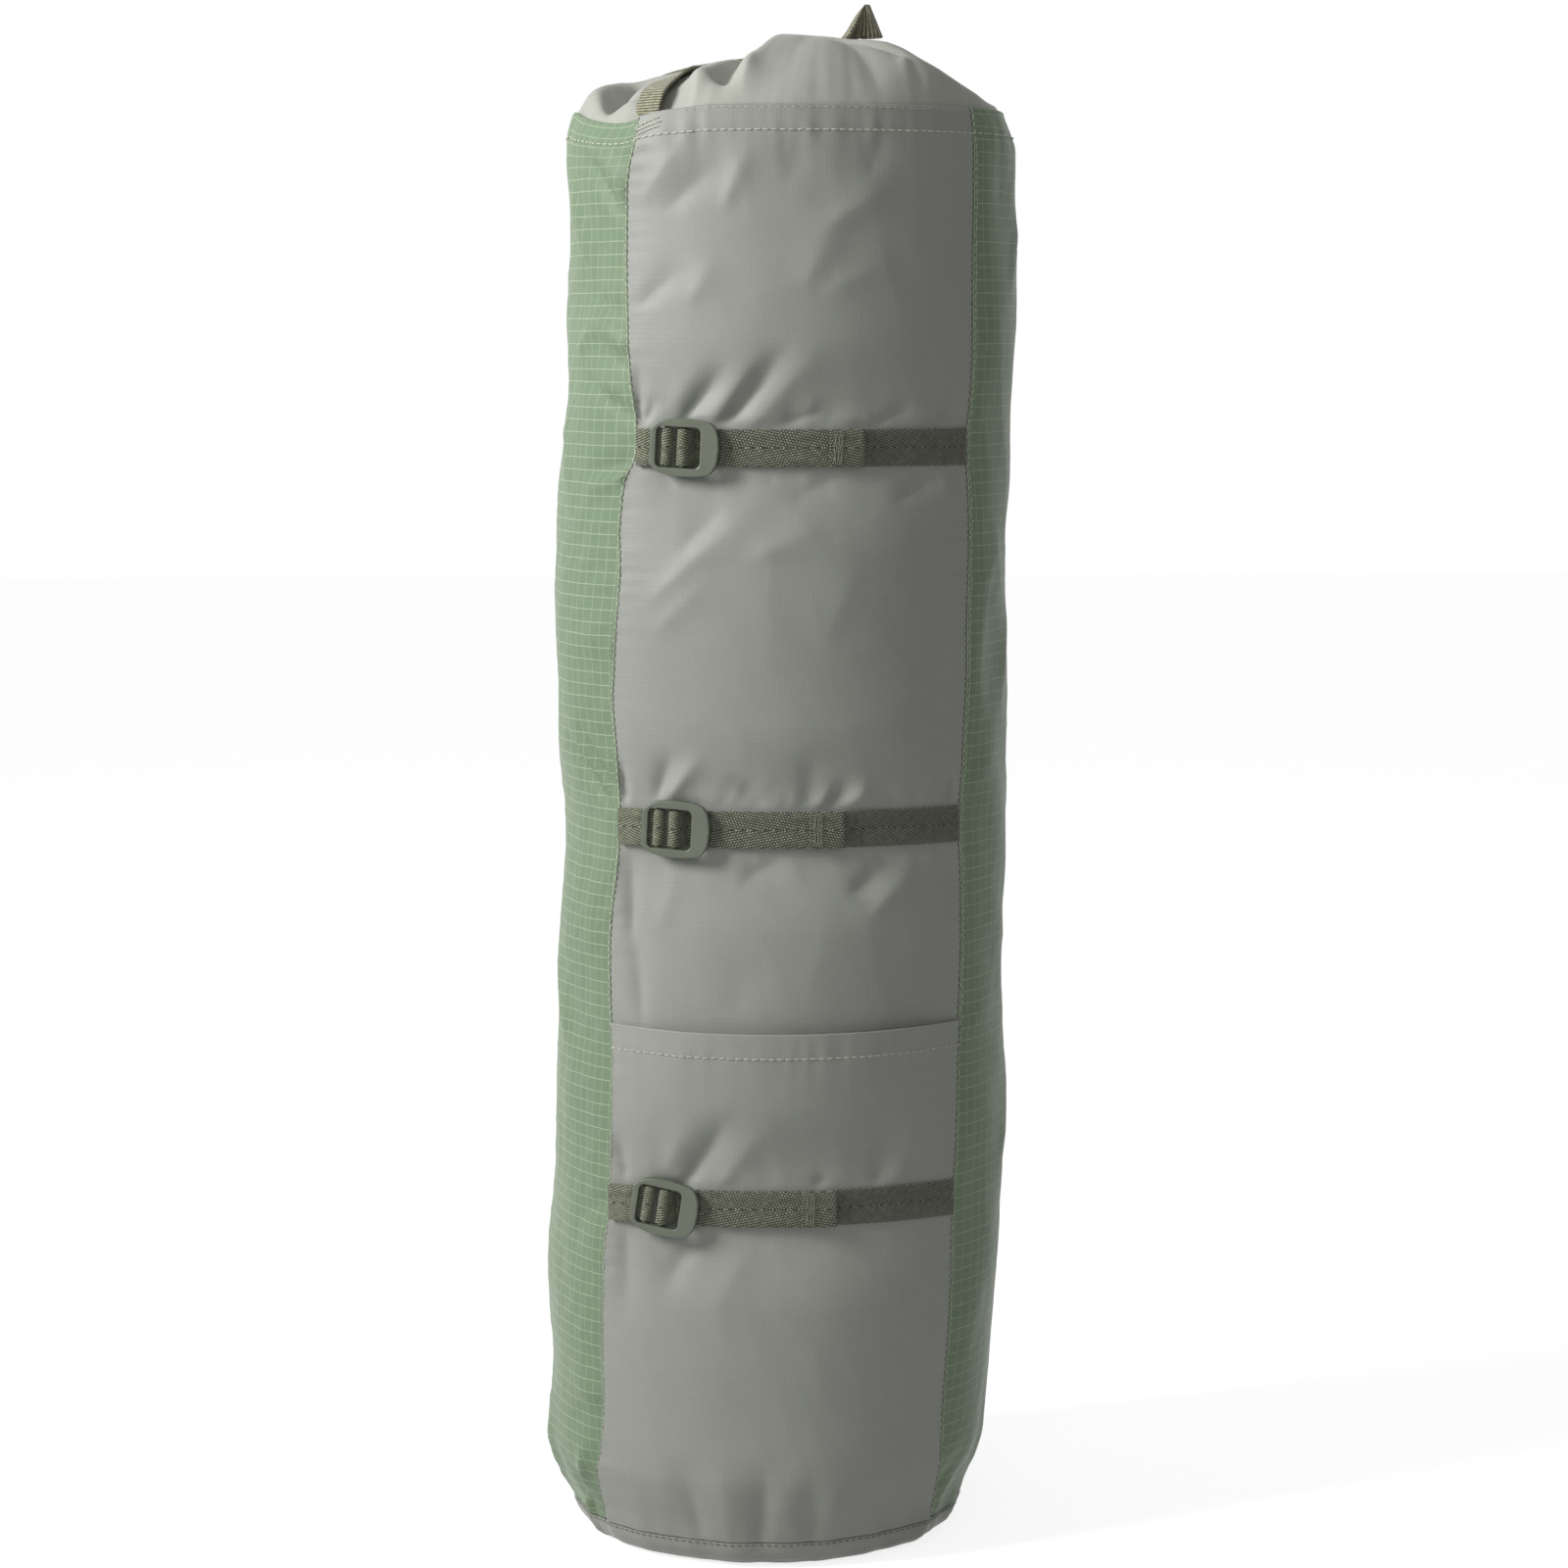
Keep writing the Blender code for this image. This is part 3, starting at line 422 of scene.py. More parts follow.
def ripstop(
    name, ground, thread, pitch, width, across, upward, roughness, ridge=0.00012, glint=0.22,
    shift_dark=(0.86, 0.86, 0.86), shift_light=(1.18, 1.18, 1.18),
):
    """Thin coated ripstop: plain weave with a grid of thicker threads, paler than the ground."""
    material, shader = finish(name, roughness, Sheen_Weight=0.03, Sheen_Roughness=0.5, Specular_IOR_Level=glint)
    spot, axes = weave_axes(shader)
    shift = grain(spot, (60, 60, 60), 1.0)
    threads = []
    for place, strength in zip(axes, (upward, across)):
        waved = calc("MULTIPLY_ADD", shift, 0.5, place)
        threads.append(times(thread_line(waved, pitch, width), strength))
    grid = calc("MAXIMUM", *threads)
    warp, weft = grain(spot, (2600, 90, 1), 1.0), grain(spot, (90, 2600, 1), 1.0)
    streaks = times(calc("ADD", warp, weft), 0.5)
    uneven = grain(spot, (14, 9, 1), 3.0)
    tone = calc("ADD", times(streaks, 0.22), times(uneven, 0.14))
    cloth_colour = between(times(tone, 2.7), toned(ground, *shift_dark), toned(ground, *shift_light))
    rise = calc("ADD", times(grid, 0.8), times(streaks, 0.9))
    dress(shader, between(grid, cloth_colour, thread), rise, 0.55, ridge)
    return material


grey_cloth = ripstop("grey_ripstop", paint(146, 148, 141), paint(158, 160, 152), 1.9, 0.16, 0.35, 0.3, 0.46)
panel_shares = np.linspace(-1, 1, 123)[None, :]
front = hemmed_cloth(
    "front_cloth", lambda up, out: front_surface(up, panel_shares, out), sack_height, grey_step, grey_cloth
)
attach(front, "sack")
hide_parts("front_panel")

# ---------------------------------------------------------------------------------------------
# Body wrap. Green silicone-coated ripstop with a 5 mm grid of pale threads, one piece from seam
# to seam round the sides and the back. It is felled to the grey at the long seams and drawn
# towards the straps' ends; its top carries the same hem.
wrap_shares = np.linspace(0, 1, 181)[None, :]
# folds at the left side, the right side and the back; the first two run from their seam backwards
left_folds = [
    (30, 573, 7, 549, 3, -1.7), (23, 578, 3, 554, 4, 1.2), (44, 567, 32, 549, 3, -0.8),
    (28, 514, 4, 507, 3, -1.1), (26, 507, 3, 494, 3, 1.2), (22, 497, 1, 486, 3, -1), (18, 503, 36, 493, 4, 1),
    (33, 485, 0, 467, 3.2, -1.5), (21, 484, 0, 469, 3, 1.1), (24, 443, 0, 448, 3, -1.7),
    (23, 437, 0, 443, 3.5, 1.3), (22, 340, 3, 317, 3.2, -1.9), (38, 339, 8, 314, 3.2, -1.9),
    (30, 341, 6, 316, 3, 1.2), (16, 342, 3, 323, 3.4, 1), (22, 382, 1, 374, 7, 0.7),
    (28, 140, 4, 150, 4, -0.9), (20, 32, 10, 13, 4, -1.6), (11, 48, 15, 14, 4, 1.3), (24, 75, 6, 68, 6, 0.9),
    (46, 560, 30, 530, 6, 1.2), (58, 470, 40, 440, 7, 1.2), (60, 250, 40, 215, 8, 1.1), (58, 60, 44, 14, 5, 1.6),
]
right_folds = [
    (32, 464, 3, 464, 1.6, -0.9), (22, 503, 4, 495, 5, 1), (29, 412, 8, 398, 7, 0.8), (29, 333, 5, 319, 6, 0.8),
    (29, 232, 4, 219, 8, 0.7), (26, 105, 5, 97, 7, 0.7), (20, 42, 4, 29, 4, -1.2), (10, 32, 5, 14, 3.5, 1.3),
    (48, 550, 34, 520, 7, 1.2), (56, 400, 40, 360, 8, 1.3), (58, 200, 42, 160, 8, 1.2), (50, 60, 38, 14, 5, 1.5),
]
back_folds = [
    (-40, 560, -8, 470, 9, 2), (30, 555, 6, 452, 8, -1.7), (60, 480, 18, 392, 9, 1.8),
    (-62, 430, -20, 340, 9, 1.9), (12, 400, 36, 290, 8, -1.6), (-18, 300, -58, 205, 9, 1.7),
    (52, 300, 20, 200, 9, 1.8), (-4, 240, 28, 130, 8, -1.6), (-50, 170, -14, 70, 9, 1.8),
    (48, 150, 70, 50, 8, 1.6), (-20, 70, -34, 14, 5, 2), (8, 74, 12, 14, 5, -1.6), (40, 66, 34, 14, 5, 2),
]
turn_stations = np.linspace(math.radians(40), math.radians(320), 1201)
wrap_x, wrap_y = rounded(np.sin(turn_stations)) * sack_width / 2, rounded(np.cos(turn_stations)) * sack_depth / 2
wrap_length = lengths_along(pairs(wrap_x, wrap_y))


def wrap_surface(up, turn, out):
    """Points on the outer face of the wrap, and their distance round the back from its middle."""
    up, turn = np.broadcast_arrays(np.asarray(up, float), np.asarray(turn, float))
    middle, half = girth(up)
    depth = sack_depth / sack_width * half
    around = np.interp(turn, turn_stations, wrap_length - wrap_length[-1] / 2) * half / (sack_width / 2)
    edge = np.interp(2 * math.pi - seam_turn(up), turn_stations, wrap_length - wrap_length[-1] / 2)
    edge = edge * half / (sack_width / 2) - np.abs(around)
    relief = 1.7 * fold_relief(edge, up, left_folds) * (around > 0)
    relief = relief + fold_relief(edge, up, right_folds) * (around < 0)
    relief += fold_relief(around, up, back_folds)
    relief += 0.6 * creased(around, up, 24, 11) * ease(edge / 10)
    relief += np.where(around > 0, 0.5, 0.2) * creased(around - 0.8 * up, up, 9, 18) * ease(edge / 6)
    relief += 1.5 * wander(around, up, 46, 12) * ease(edge / 22)
    relief += 0.4 * seam_puckers(up, edge, 4.2, 8, 13 + np.sign(around.mean()))
    relief += 0.4 * seam_puckers(around, up - (sack_height - hem_depth), 6.0, 9, 15)
    relief += 0.9 * seam_puckers(around, up - base_seam, 10.0, 15, 16)
    # the top of the right side is drawn in to the collar
    relief -= 6.0 * ease((up - 571) / 16) * np.exp(-(((turn - 1.75) / 0.62) ** 2))
    reach = (relief * ease(edge / 2) + out)[..., None]
    level = up - hem_dip(up, -edge) * (around > 0)
    # its edge is carried to the front panel's edge, and the cloth beside it follows
    side, follow = np.where(around > 0, -1, 1), 1 - ease(edge / 24)
    _, centre_y, radius, half_angle = front_arc(up)
    angle = half_angle - (0.15 + drawn_in(up, side)) / radius
    to_front_x = side * (radius * np.sin(angle) - half * rounded(np.sin(seam_turn(up))))
    to_front_y = centre_y - radius * np.cos(angle) - sack_y + depth * rounded(np.cos(seam_turn(up)))
    flat_x = middle + half * rounded(np.sin(turn)) + follow * to_front_x
    flat_y = sack_y - depth * rounded(np.cos(turn)) + follow * to_front_y
    flat = np.stack([flat_x, flat_y, level], -1)
    slope = 2 / (2 - 2 / squareness)
    away = (rounded(np.sin(turn), slope) * depth, -rounded(np.cos(turn), slope) * half, 0 * up)
    return flat + unit(np.stack(away, -1)) * reach, around


def wrap_turn(up, share):
    """Turn of a point of the wrap, by its share of the way from the right seam to the left one."""
    edge = seam_turn(up) + 0.0015
    return edge + (2 * math.pi - 2 * edge) * share


green_cloth = ripstop(
    "green_ripstop", paint(116, 133, 110), paint(164, 179, 151), 5.0, 0.26, 0.85, 0.5, 0.42, 0.00016, 0.12,
    (0.80, 0.87, 0.88), (1.24, 1.18, 1.12),
)
wrap = hemmed_cloth(
    "side_and_back_cloth", lambda up, out: wrap_surface(up, wrap_turn(up, wrap_shares), out),
    sack_height, green_step, green_cloth,
)
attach(wrap, "sack")
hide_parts("body_wrap")

# ---------------------------------------------------------------------------------------------
# Front pocket. A second layer of the grey cloth over the lower third, caught in the long seams
# and the base seam. Its mouth is hemmed and gapes a little; the lower strap holds it shut.
pocket_layer, pocket_gape, gape_from = 1.1, 5.8, 167.0


def pocket_relief(up, share, along, edge):
    opening = ease((up - gape_from) / (pocket_mouth - gape_from))
    relief, seeds = 1.2 * fold_relief(along, up, pocket_folds), [(strap_heights[2], 26)]
    relief = unevenness(relief, up, share, along, edge, pocket_mouth, (19, 40, 0.5, 0.3, 7), 20, seeds)
    relief = relief * off_straps(up, 6.5, 6) * ease(edge / 1.5)
    relief = relief + pocket_layer + pocket_gape * opening * (1 - share**2)
    return relief - under_locks(up, along, lock_hollows[2:])


pocket = hemmed_cloth(
    "pocket_cloth", lambda up, out: front_surface(up, panel_shares, out * 0.7, pocket_relief),
    pocket_mouth, grey_step, grey_cloth,
)
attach(pocket, "sack")
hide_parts("front_pocket")

# ---------------------------------------------------------------------------------------------
# Base. A round of the grey cloth, sewn to the walls 12 mm up with dark thread; it turns in under
# the sack and lies on the floor, a little hollow in the middle.
base_turns = np.linspace(-math.pi, math.pi, 289)[None, :]
base_steps = np.concatenate([np.linspace(0, 1, 21), np.linspace(1.1, 3.0, 20)])[:, None]
# steps inwards from the seam, height, and share of the seam's reach
base_profile = [
    (0, 11.7, 1), (0.1, 9.8, 0.998), (0.25, 7.2, 0.986), (0.45, 4.2, 0.962), (0.65, 1.9, 0.925),
    (0.85, 0.5, 0.88), (1, 0.02, 0.83), (1.5, 0.05, 0.7), (2.2, 0.6, 0.45), (3, 1.2, 0.02),
]


def wall_point(up, turn, out=0.0, relief=front_relief):
    """The sack's outer face at any turn, front or wrap; turn 0 is the middle of the front."""
    facing = np.abs(turn) < seam_turn(up)
    flat, _ = front_surface(up, np.where(facing, turn / seam_turn(up), 0), out, relief)
    side, _ = wrap_surface(up, np.where(facing, math.pi, turn % (2 * math.pi)), out)
    return np.where(facing[..., None], flat, side)


rim = wall_point(np.full((1, 289), base_seam), base_turns, 0.0, pocket_relief)[0]
closed = np.arange(289) % 288
rim = (rim + np.roll(rim[:-1], 1, 0)[closed] + np.roll(rim[:-1], -1, 0)[closed]) / 3
base_middle = np.array([girth(base_seam)[0], sack_y, 0.0])
profile_steps, profile_heights, profile_shares = np.array(base_profile).T
heights = np.interp(base_steps, profile_steps, profile_heights)
shares = np.interp(base_steps, profile_steps, profile_shares)
base_grid = base_middle + (rim[None] - base_middle) * shares[:, :, None]
tucks = wander(closed[None, :], 0 * base_steps, 7.0, 31) * np.exp(-base_steps / 0.5)
base_grid[..., 2] = heights + 0.5 * tucks * (base_steps > 0.02) * (heights > 1)
base = cloth_mesh("base_cloth", base_grid[::-1], base_grid[::-1][..., :2] * 1.02, grey_cloth, ring=True)
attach(base, "sack")
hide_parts("base_panel")

# ---------------------------------------------------------------------------------------------
# Closing collar. Grey ripstop, lighter than the front's as painted light on the sack's lit top. It is
# sewn inside the hem and gathered shut off centre, so its fullness falls into pleats that run in to the throat.
# The front stands up over the handle.
throat = np.array([18.0, -14.0, 0.0])
# share of the way in from the hem, and height over it: right and left of the back, then the walls
# that the cloth makes at the front and at the right
steep_rise = [(0, 0), (0.06, 5), (0.2, 11.5), (0.37, 19.2), (0.56, 26.5), (0.69, 29.5), (0.84, 28.5), (1, 21)]
gentle_rise = [(0, 0), (0.04, 6), (0.13, 11.5), (0.25, 15.6), (0.46, 19.7), (0.64, 24), (0.8, 29), (1, 21)]
front_rise = [(0, 0), (0.05, 7), (0.12, 14), (0.2, 20), (0.3, 25), (0.42, 28.5), (0.56, 30), (0.84, 29), (1, 21)]
right_rise = [(0, 0), (0.03, 7), (0.07, 15), (0.12, 21), (0.2, 26), (0.32, 29), (0.5, 30.5), (0.84, 29), (1, 21)]
# place across the front, and how high the collar stands there above the hem
collar_outline = [
    (-95, 3), (-84, 6), (-75, 10), (-62, 13.5), (-38, 16.5), (-22, 20), (-13, 23), (-6, 28.6), (0, 29.4),
    (14, 28.6), (22, 27.4), (36, 26.6), (43.5, 24.2), (51, 20), (58.7, 15.8), (66, 11), (73, 6.6),
    (79, 2.4), (86, 0.6), (95, 0.3),
]
# the depth at which that outline is drawn, and how far before it, under the hem and askew the eye is
outline_depth, eye_away, eye_below, eye_slant = -40.0, 1454.0, 88.0, 0.108
# crest of each fold in plan from end to end, its half width, and how far it stands up or is pressed in
collar_folds = [
    (-25, -80, -4, -38, 4.4, 7), (-27, -62, -18, -38, 6, -8.5), (-43, -74, -25, -30, 6, 9.5),
    (-48, -66, -41, -52, 2.6, -1.2), (-58, -54, -48, -20, 4.5, -5), (-76, -46, -58, 4, 5.5, -9.5),
    (-86, -34, -70, 14, 6, 5), (-80, -6, -30, 22, 11, 2.4), (-50, -67, -45, -74, 2.2, 1.6),
    (-45, -74, -36, -69, 2.2, 1.6), (-54, -71, -54, -62, 2.4, -1.6), (12, -42, -16, -72, 7, 1.4),
    (10, -44, -8, -78, 7, -1.3), (13, -44, 9, -76, 6, 0.8), (16, -46, 34, -72, 4.6, -2.2),
    (26, -46, 52, -68, 5.5, 2), (12, -43, 50, -62, 2.8, -5.5), (22, -40, 46, -50, 3.6, 4.6),
    (44, -60, 66, -64, 3.4, 3.6), (-37, -76, -33, -70, 2.2, -1), (62, -46, 84, -42, 3.6, -2),
]
# the pleats at the sides and back: way round the throat, half width in degrees, height
collar_pleats = [
    (-16, 6, 2.4), (-4, 5, -2.8), (8, 7, 2.4), (22, 6, -3), (36, 7, 2.8), (50, 5, -2.6), (63, 7, 3),
    (78, 6, -3.2), (92, 7, 2.8), (106, 5, -2.8), (119, 7, 2.6), (133, 6, -2.8), (146, 7, 2.4), (168, 5, -1.8),
]


def collar_inset(turn):
    """How far inside the hem the collar rises: more where the handle's end comes up between them."""
    return -1.7 - 4.4 * np.exp(-(((np.degrees(turn) + 41.5) / 8.5) ** 4))


def collar_surface(turn, way_in):
    """Points on the collar's outer face on the way in from the hem (0) to the throat (1)."""
    turn, way_in = np.broadcast_arrays(np.asarray(turn, float), np.asarray(way_in, float))
    hem = wall_point(np.full(turn.shape, sack_height), turn, collar_inset(turn))
    dip = (sack_height - hem[..., 2]) * (1 - ease(way_in / 0.3))
    hem[..., 2] = 0
    flat = hem + (throat - hem) * way_in[..., None]
    azimuth = np.arctan2(hem[..., 1] - throat[1], hem[..., 0] - throat[0])
    bearing, to_back = np.degrees(azimuth), np.sin(azimuth)
    # the plain rise from hem to throat, by the side that it is on, with the hollow at the left
    low, high = through(gentle_rise, way_in), through(steep_rise, way_in)
    rise = low + (high - low) * (0.5 + 0.5 * (np.cos(azimuth) - to_back) / math.sqrt(2))
    rightward = ease((bearing + 80) / 35) * ease((50 - bearing) / 40)
    wall = through(front_rise, way_in) * (1 - rightward) + through(right_rise, way_in) * rightward
    off = np.abs(bearing + 165)
    hollow = 0.45 * ease(1 - np.minimum(off, 360 - off) / 50) * ease(way_in / 0.15) * ease((1 - way_in) / 0.35)
    rise = (rise + (wall - rise) * ease((0.45 - to_back) / 0.9)) * (1 - hollow)
    folds = np.zeros(turn.shape)
    for x_0, y_0, x_1, y_1, wide, tall in collar_folds:
        run = np.array([x_1 - x_0, y_1 - y_0])
        share = ((flat[..., 0] - x_0) * run[0] + (flat[..., 1] - y_0) * run[1]) / (run @ run)
        share = np.clip(share, 0, 1)
        off = np.hypot(flat[..., 0] - x_0 - share * run[0], flat[..., 1] - y_0 - share * run[1])
        crest = tall * (1 - 0.45 * share * (abs(tall) < 3))
        folds += crest * np.exp(-((off / (wide * (0.75 + 0.5 * share))) ** 1.35))
    for centre, wide, tall in collar_pleats:
        off = (bearing - centre + 180 + 12 * way_in) % 360 - 180
        crest = tall * np.exp(-np.abs(off / wide) ** 1.6)
        folds += crest * ease((way_in - 0.04) / 0.4) * ease((0.97 - way_in) / 0.2)
    rise = rise + folds * ease(way_in / 0.1) * ease((1 - way_in) / 0.1)
    # the gathers at the throat, and the cloth's fine creases
    ring = zip((np.cos(azimuth) * 4.6).ravel(), (to_back * 4.6).ravel(), way_in.ravel())
    gather = np.array([noise.noise((a, b, 1.4 * c)) for a, b, c in ring])
    gather = 0.5 - np.abs(gather.reshape(turn.shape)) * 2.4
    rearward = ease(0.65 + 0.5 * to_back)
    rise = rise + 2.4 * gather * rearward * ease((way_in - 0.45) / 0.4) * ease((1.0 - way_in) / 0.12)
    rise = rise + 0.5 * creased(flat[..., 0], flat[..., 1], 17, 42) * ease(way_in / 0.1)
    rise = rise + 0.45 * seam_puckers(bearing * 1.5, way_in * 70, 7.0, 11, 43) * ease(way_in / 0.03)
    # nothing stands over the outline, which is drawn as seen from the front
    behind = flat[..., 1] - outline_depth
    outline = through(collar_outline, flat[..., 0] - eye_slant * behind)
    outline = (outline + eye_below) * (1 + behind / eye_away) - eye_below
    rise = outline - 1.6 * np.log1p(np.exp(np.clip((outline - rise) / 1.6, -30, 30)))
    flat[..., 2] = sack_height + np.maximum(rise, 0.25 * way_in) - dip
    return flat


# the collar's grey is lighter than the front's: painted light for the lit top of the sack
collar_cloth = ripstop("collar_ripstop", paint(166, 167, 158), paint(176, 177, 168), 1.9, 0.16, 0.3, 0.25, 0.48)
collar_turns = np.linspace(-math.pi, math.pi, 481)[None, :]
collar_steps = np.concatenate([np.linspace(0, 0.12, 14), np.linspace(0.13, 0.985, 92)])[:, None]
collar_top = collar_surface(collar_turns, collar_steps)
skirt_inset = collar_inset(collar_turns[0]) - 0.4
skirt_drops = (13, 10, 7, 4, 1.5)
skirt = [wall_point(np.full(481, sack_height - drop), collar_turns[0], skirt_inset) for drop in skirt_drops]
collar_grid = np.concatenate([skirt, collar_top])
slope = np.linalg.norm(np.diff(collar_grid, axis=0), axis=2).mean(1)
collar_weave = pairs(lengths_along(collar_top[0])[None, :], np.concatenate([[0], np.cumsum(slope)])[:, None])
collar_grid = np.concatenate([collar_grid[:, :-1], collar_grid[:, :1]], 1)
collar = cloth_mesh("collar_cloth", collar_grid, collar_weave, collar_cloth, ring=True)
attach(collar, "sack")
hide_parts("closure_collar")

# ---------------------------------------------------------------------------------------------
# Seams and thread. The long seams are felled: the green's edge is folded over the grey's and sewn
# twice. Pale polyester thread holds the hems and the pocket, dark thread the long seams and base.


def stitch_tree():
    """A row of stitches along a line: one rounded thread grain for each pitch, a little uneven."""
    tree = bpy.data.node_groups.new("stitch_row", "GeometryNodeTree")
    kinds = {"Line": "Geometry", "Pitch": "Float", "Stitch length": "Float", "Thread radius": "Float"}
    for name, kind in {**kinds, "Thread": "Material"}.items():
        tree.interface.new_socket(name, in_out="INPUT", socket_type="NodeSocket" + kind)
    tree.interface.new_socket("Stitches", in_out="OUTPUT", socket_type="NodeSocketGeometry")
    given = tree.nodes.new("NodeGroupInput").outputs
    result = tree.nodes.new("NodeGroupOutput")
    curve = wire(tree, "GeometryNodeMeshToCurve", given["Line"])
    spaced = wire(tree, "GeometryNodeResampleCurve", {"Curve": curve, "Length": given["Pitch"]}, mode="LENGTH")
    radius, half_length = given["Thread radius"], times(given["Stitch length"], 0.5)
    size = wire(tree, "ShaderNodeCombineXYZ", radius, radius, half_length)
    bead = wire(tree, "GeometryNodeMeshUVSphere", 6, 4, 1.0)
    bead = wire(tree, "GeometryNodeTransform", {"Geometry": bead, "Scale": size})
    spread = {"Min": (-0.07, -0.07, -0.07), "Max": (0.07, 0.07, 0.07), "Seed": 3}
    jitter = wire(tree, "FunctionNodeRandomValue", spread, data_type="FLOAT_VECTOR")
    bent = wire(tree, "ShaderNodeVectorMath", wire(tree, "GeometryNodeInputTangent"), jitter)
    turned = wire(tree, "FunctionNodeAlignRotationToVector", {"Vector": bent}, axis="Z")
    stitches = {"Points": spaced, "Instance": bead, "Rotation": turned}
    stitches = wire(tree, "GeometryNodeInstanceOnPoints", stitches)
    stitches = wire(tree, "GeometryNodeRealizeInstances", stitches)
    stitches = wire(tree, "GeometryNodeSetMaterial", {"Geometry": stitches, "Material": given["Thread"]})
    tree.links.new(stitches, result.inputs[0])
    return tree


def sew(name, lines, thread, body, pitch, length, radius):
    """Stitches along lines of points in mm, as one plain mesh on a body."""
    points, edges = [], []
    for line in lines:
        edges += [(len(points) + k, len(points) + k + 1) for k in range(len(line) - 1)]
        points += [Vector(p) * MM for p in line]
    mesh = bpy.data.meshes.new(name + "_line")
    mesh.from_pydata(points, edges, [])
    thing = placed(name, mesh)
    row = thing.modifiers.new("stitches", "NODES")
    row.node_group = stitching
    sockets = {item.name: item.identifier for item in stitching.interface.items_tree}
    given = {"Pitch": pitch * MM, "Stitch length": length * MM, "Thread radius": radius * MM, "Thread": thread}
    for key, value in given.items():
        row[sockets[key]] = value
    made = worked_mesh(thing)
    thing.modifiers.clear()
    thing.data = made
    made.shade_smooth()
    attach(thing, body)


def thread_finish(name, colour):
    material, shader = finish(name, 0.5, Sheen_Weight=0.3)
    ply = grain(object_spot(shader), (1500, 1500, 1500))
    dress(shader, between(ply, toned(colour, 0.7, 0.7, 0.7), colour), ply, 0.5, 0.0001)
    return material


stitching = stitch_tree()
pale_thread = thread_finish("pale_thread", paint(214, 216, 196))
tack_thread = thread_finish("tack_thread", paint(126, 128, 106))
dark_thread = thread_finish("dark_thread", paint(78, 82, 70))
seam_rise = np.arange(base_seam + 1, sack_height - 0.8, 1.5)
front_half = 72.0  # from the middle of the front to a long seam, along the cloth


def seam_band(name, side, width, raised):
    """The green's folded edge along a long seam, standing on its own cloth."""
    across = np.linspace(0, 1, 9)[None, :]
    hump = raised * np.clip(1 - np.abs(2 * across - 1) ** 4, 0, 1) + 0.05
    turn = seam_turn(seam_rise[:, None]) + (0.1 + width * across) / (sack_width / 2) * 0.98
    if side < 0:
        turn, hump = (2 * math.pi - turn)[:, ::-1], hump[:, ::-1]
    grid, around = wrap_surface(seam_rise[:, None], turn, hump)
    band = cloth_mesh(name, grid, pairs(around + 2.1, seam_rise[:, None] + 1.7), green_cloth)
    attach(band, "sack")
    return band


def seam_line(side, inwards, out):
    """A line along a long seam, so many mm from it on the green, or on the grey if negative."""
    if inwards >= 0:
        turn = seam_turn(seam_rise) + inwards / (sack_width / 2)
        return wrap_surface(seam_rise, 2 * math.pi - turn if side < 0 else turn, out)[0]
    share = side * (1 + inwards / front_half)
    low = front_surface(seam_rise, share, out, pocket_relief)[0]
    high = front_surface(seam_rise, share, out)[0]
    return np.where((seam_rise < pocket_mouth)[:, None], low, high)


felled = [seam_band("left_seam_fold", -1, 1.8, 0.15), seam_band("right_seam_fold", 1, 2.2, 0.25)]
right_rows = [seam_line(1, 0.4, 0.3), seam_line(1, 1.9, 0.3)]
sew("left_seam_stitches", [seam_line(-1, -0.2, 0.05)], dark_thread, "sack", 2.9, 2.3, 0.1)
sew("left_seam_edge_stitches", [seam_line(-1, 0.7, 0.24)], pale_thread, "sack", 2.9, 2.7, 0.17)
sew("right_seam_stitches", right_rows, pale_thread, "sack", 2.9, 2.7, 0.14)
sew("right_seam_dark_stitches", [seam_line(1, -0.4, 0.15)], dark_thread, "sack", 2.9, 2.2, 0.15)

hem_line = sack_height - hem_depth
front_shares = np.linspace(-0.985, 0.985, 120)
hem_row = [
    front_surface(hem_line, front_shares, 0.32)[0],
    wrap_surface(hem_line, np.radians(np.linspace(45.4, 314.6, 360)), 0.32)[0],
]
edge_row = [front_surface(sack_height - 1.3, np.linspace(-0.7, 0.985, 100), 0.15)[0]]
# height, and the shares of the front between which each slanting row at the handle's root runs
root_tacks = [(582.6, -0.99, -0.87), (580.8, -0.99, -0.85), (578.9, -0.985, -0.86)]
tack_slant = 3.2 * np.linspace(0, 0.5, 14)
root_rows = [
    front_surface(rise + tack_slant, np.linspace(start, stop, 14), 0.35)[0] for rise, start, stop in root_tacks
]
mouth_row = [front_surface(pocket_mouth - hem_depth, front_shares, 0.32, pocket_relief)[0]]
base_row = base_middle + (rim - base_middle) * 1.003
base_row[:, 2] = base_seam - 1.2
sew("hem_stitches", hem_row, pale_thread, "sack", 3.3, 2.8, 0.26)
sew("top_edge_stitches", edge_row, pale_thread, "sack", 3.1, 2.3, 0.13)
sew("handle_root_stitches", root_rows, pale_thread, "sack", 1.5, 1.7, 0.2)
sew("pocket_hem_stitches", mouth_row, pale_thread, "sack", 3.3, 2.8, 0.2)
sew("base_stitches", [base_row], dark_thread, "sack", 3.0, 2.3, 0.24)

# ---------------------------------------------------------------------------------------------
# Handle. One length of 15 mm ribbed webbing laid over the collar as a loop; both ends are sewn
# down behind the hem at the left.
strap_width, strap_thick = 14.5, 1.0
half_size = np.array([sack_width / 2, sack_depth / 2])


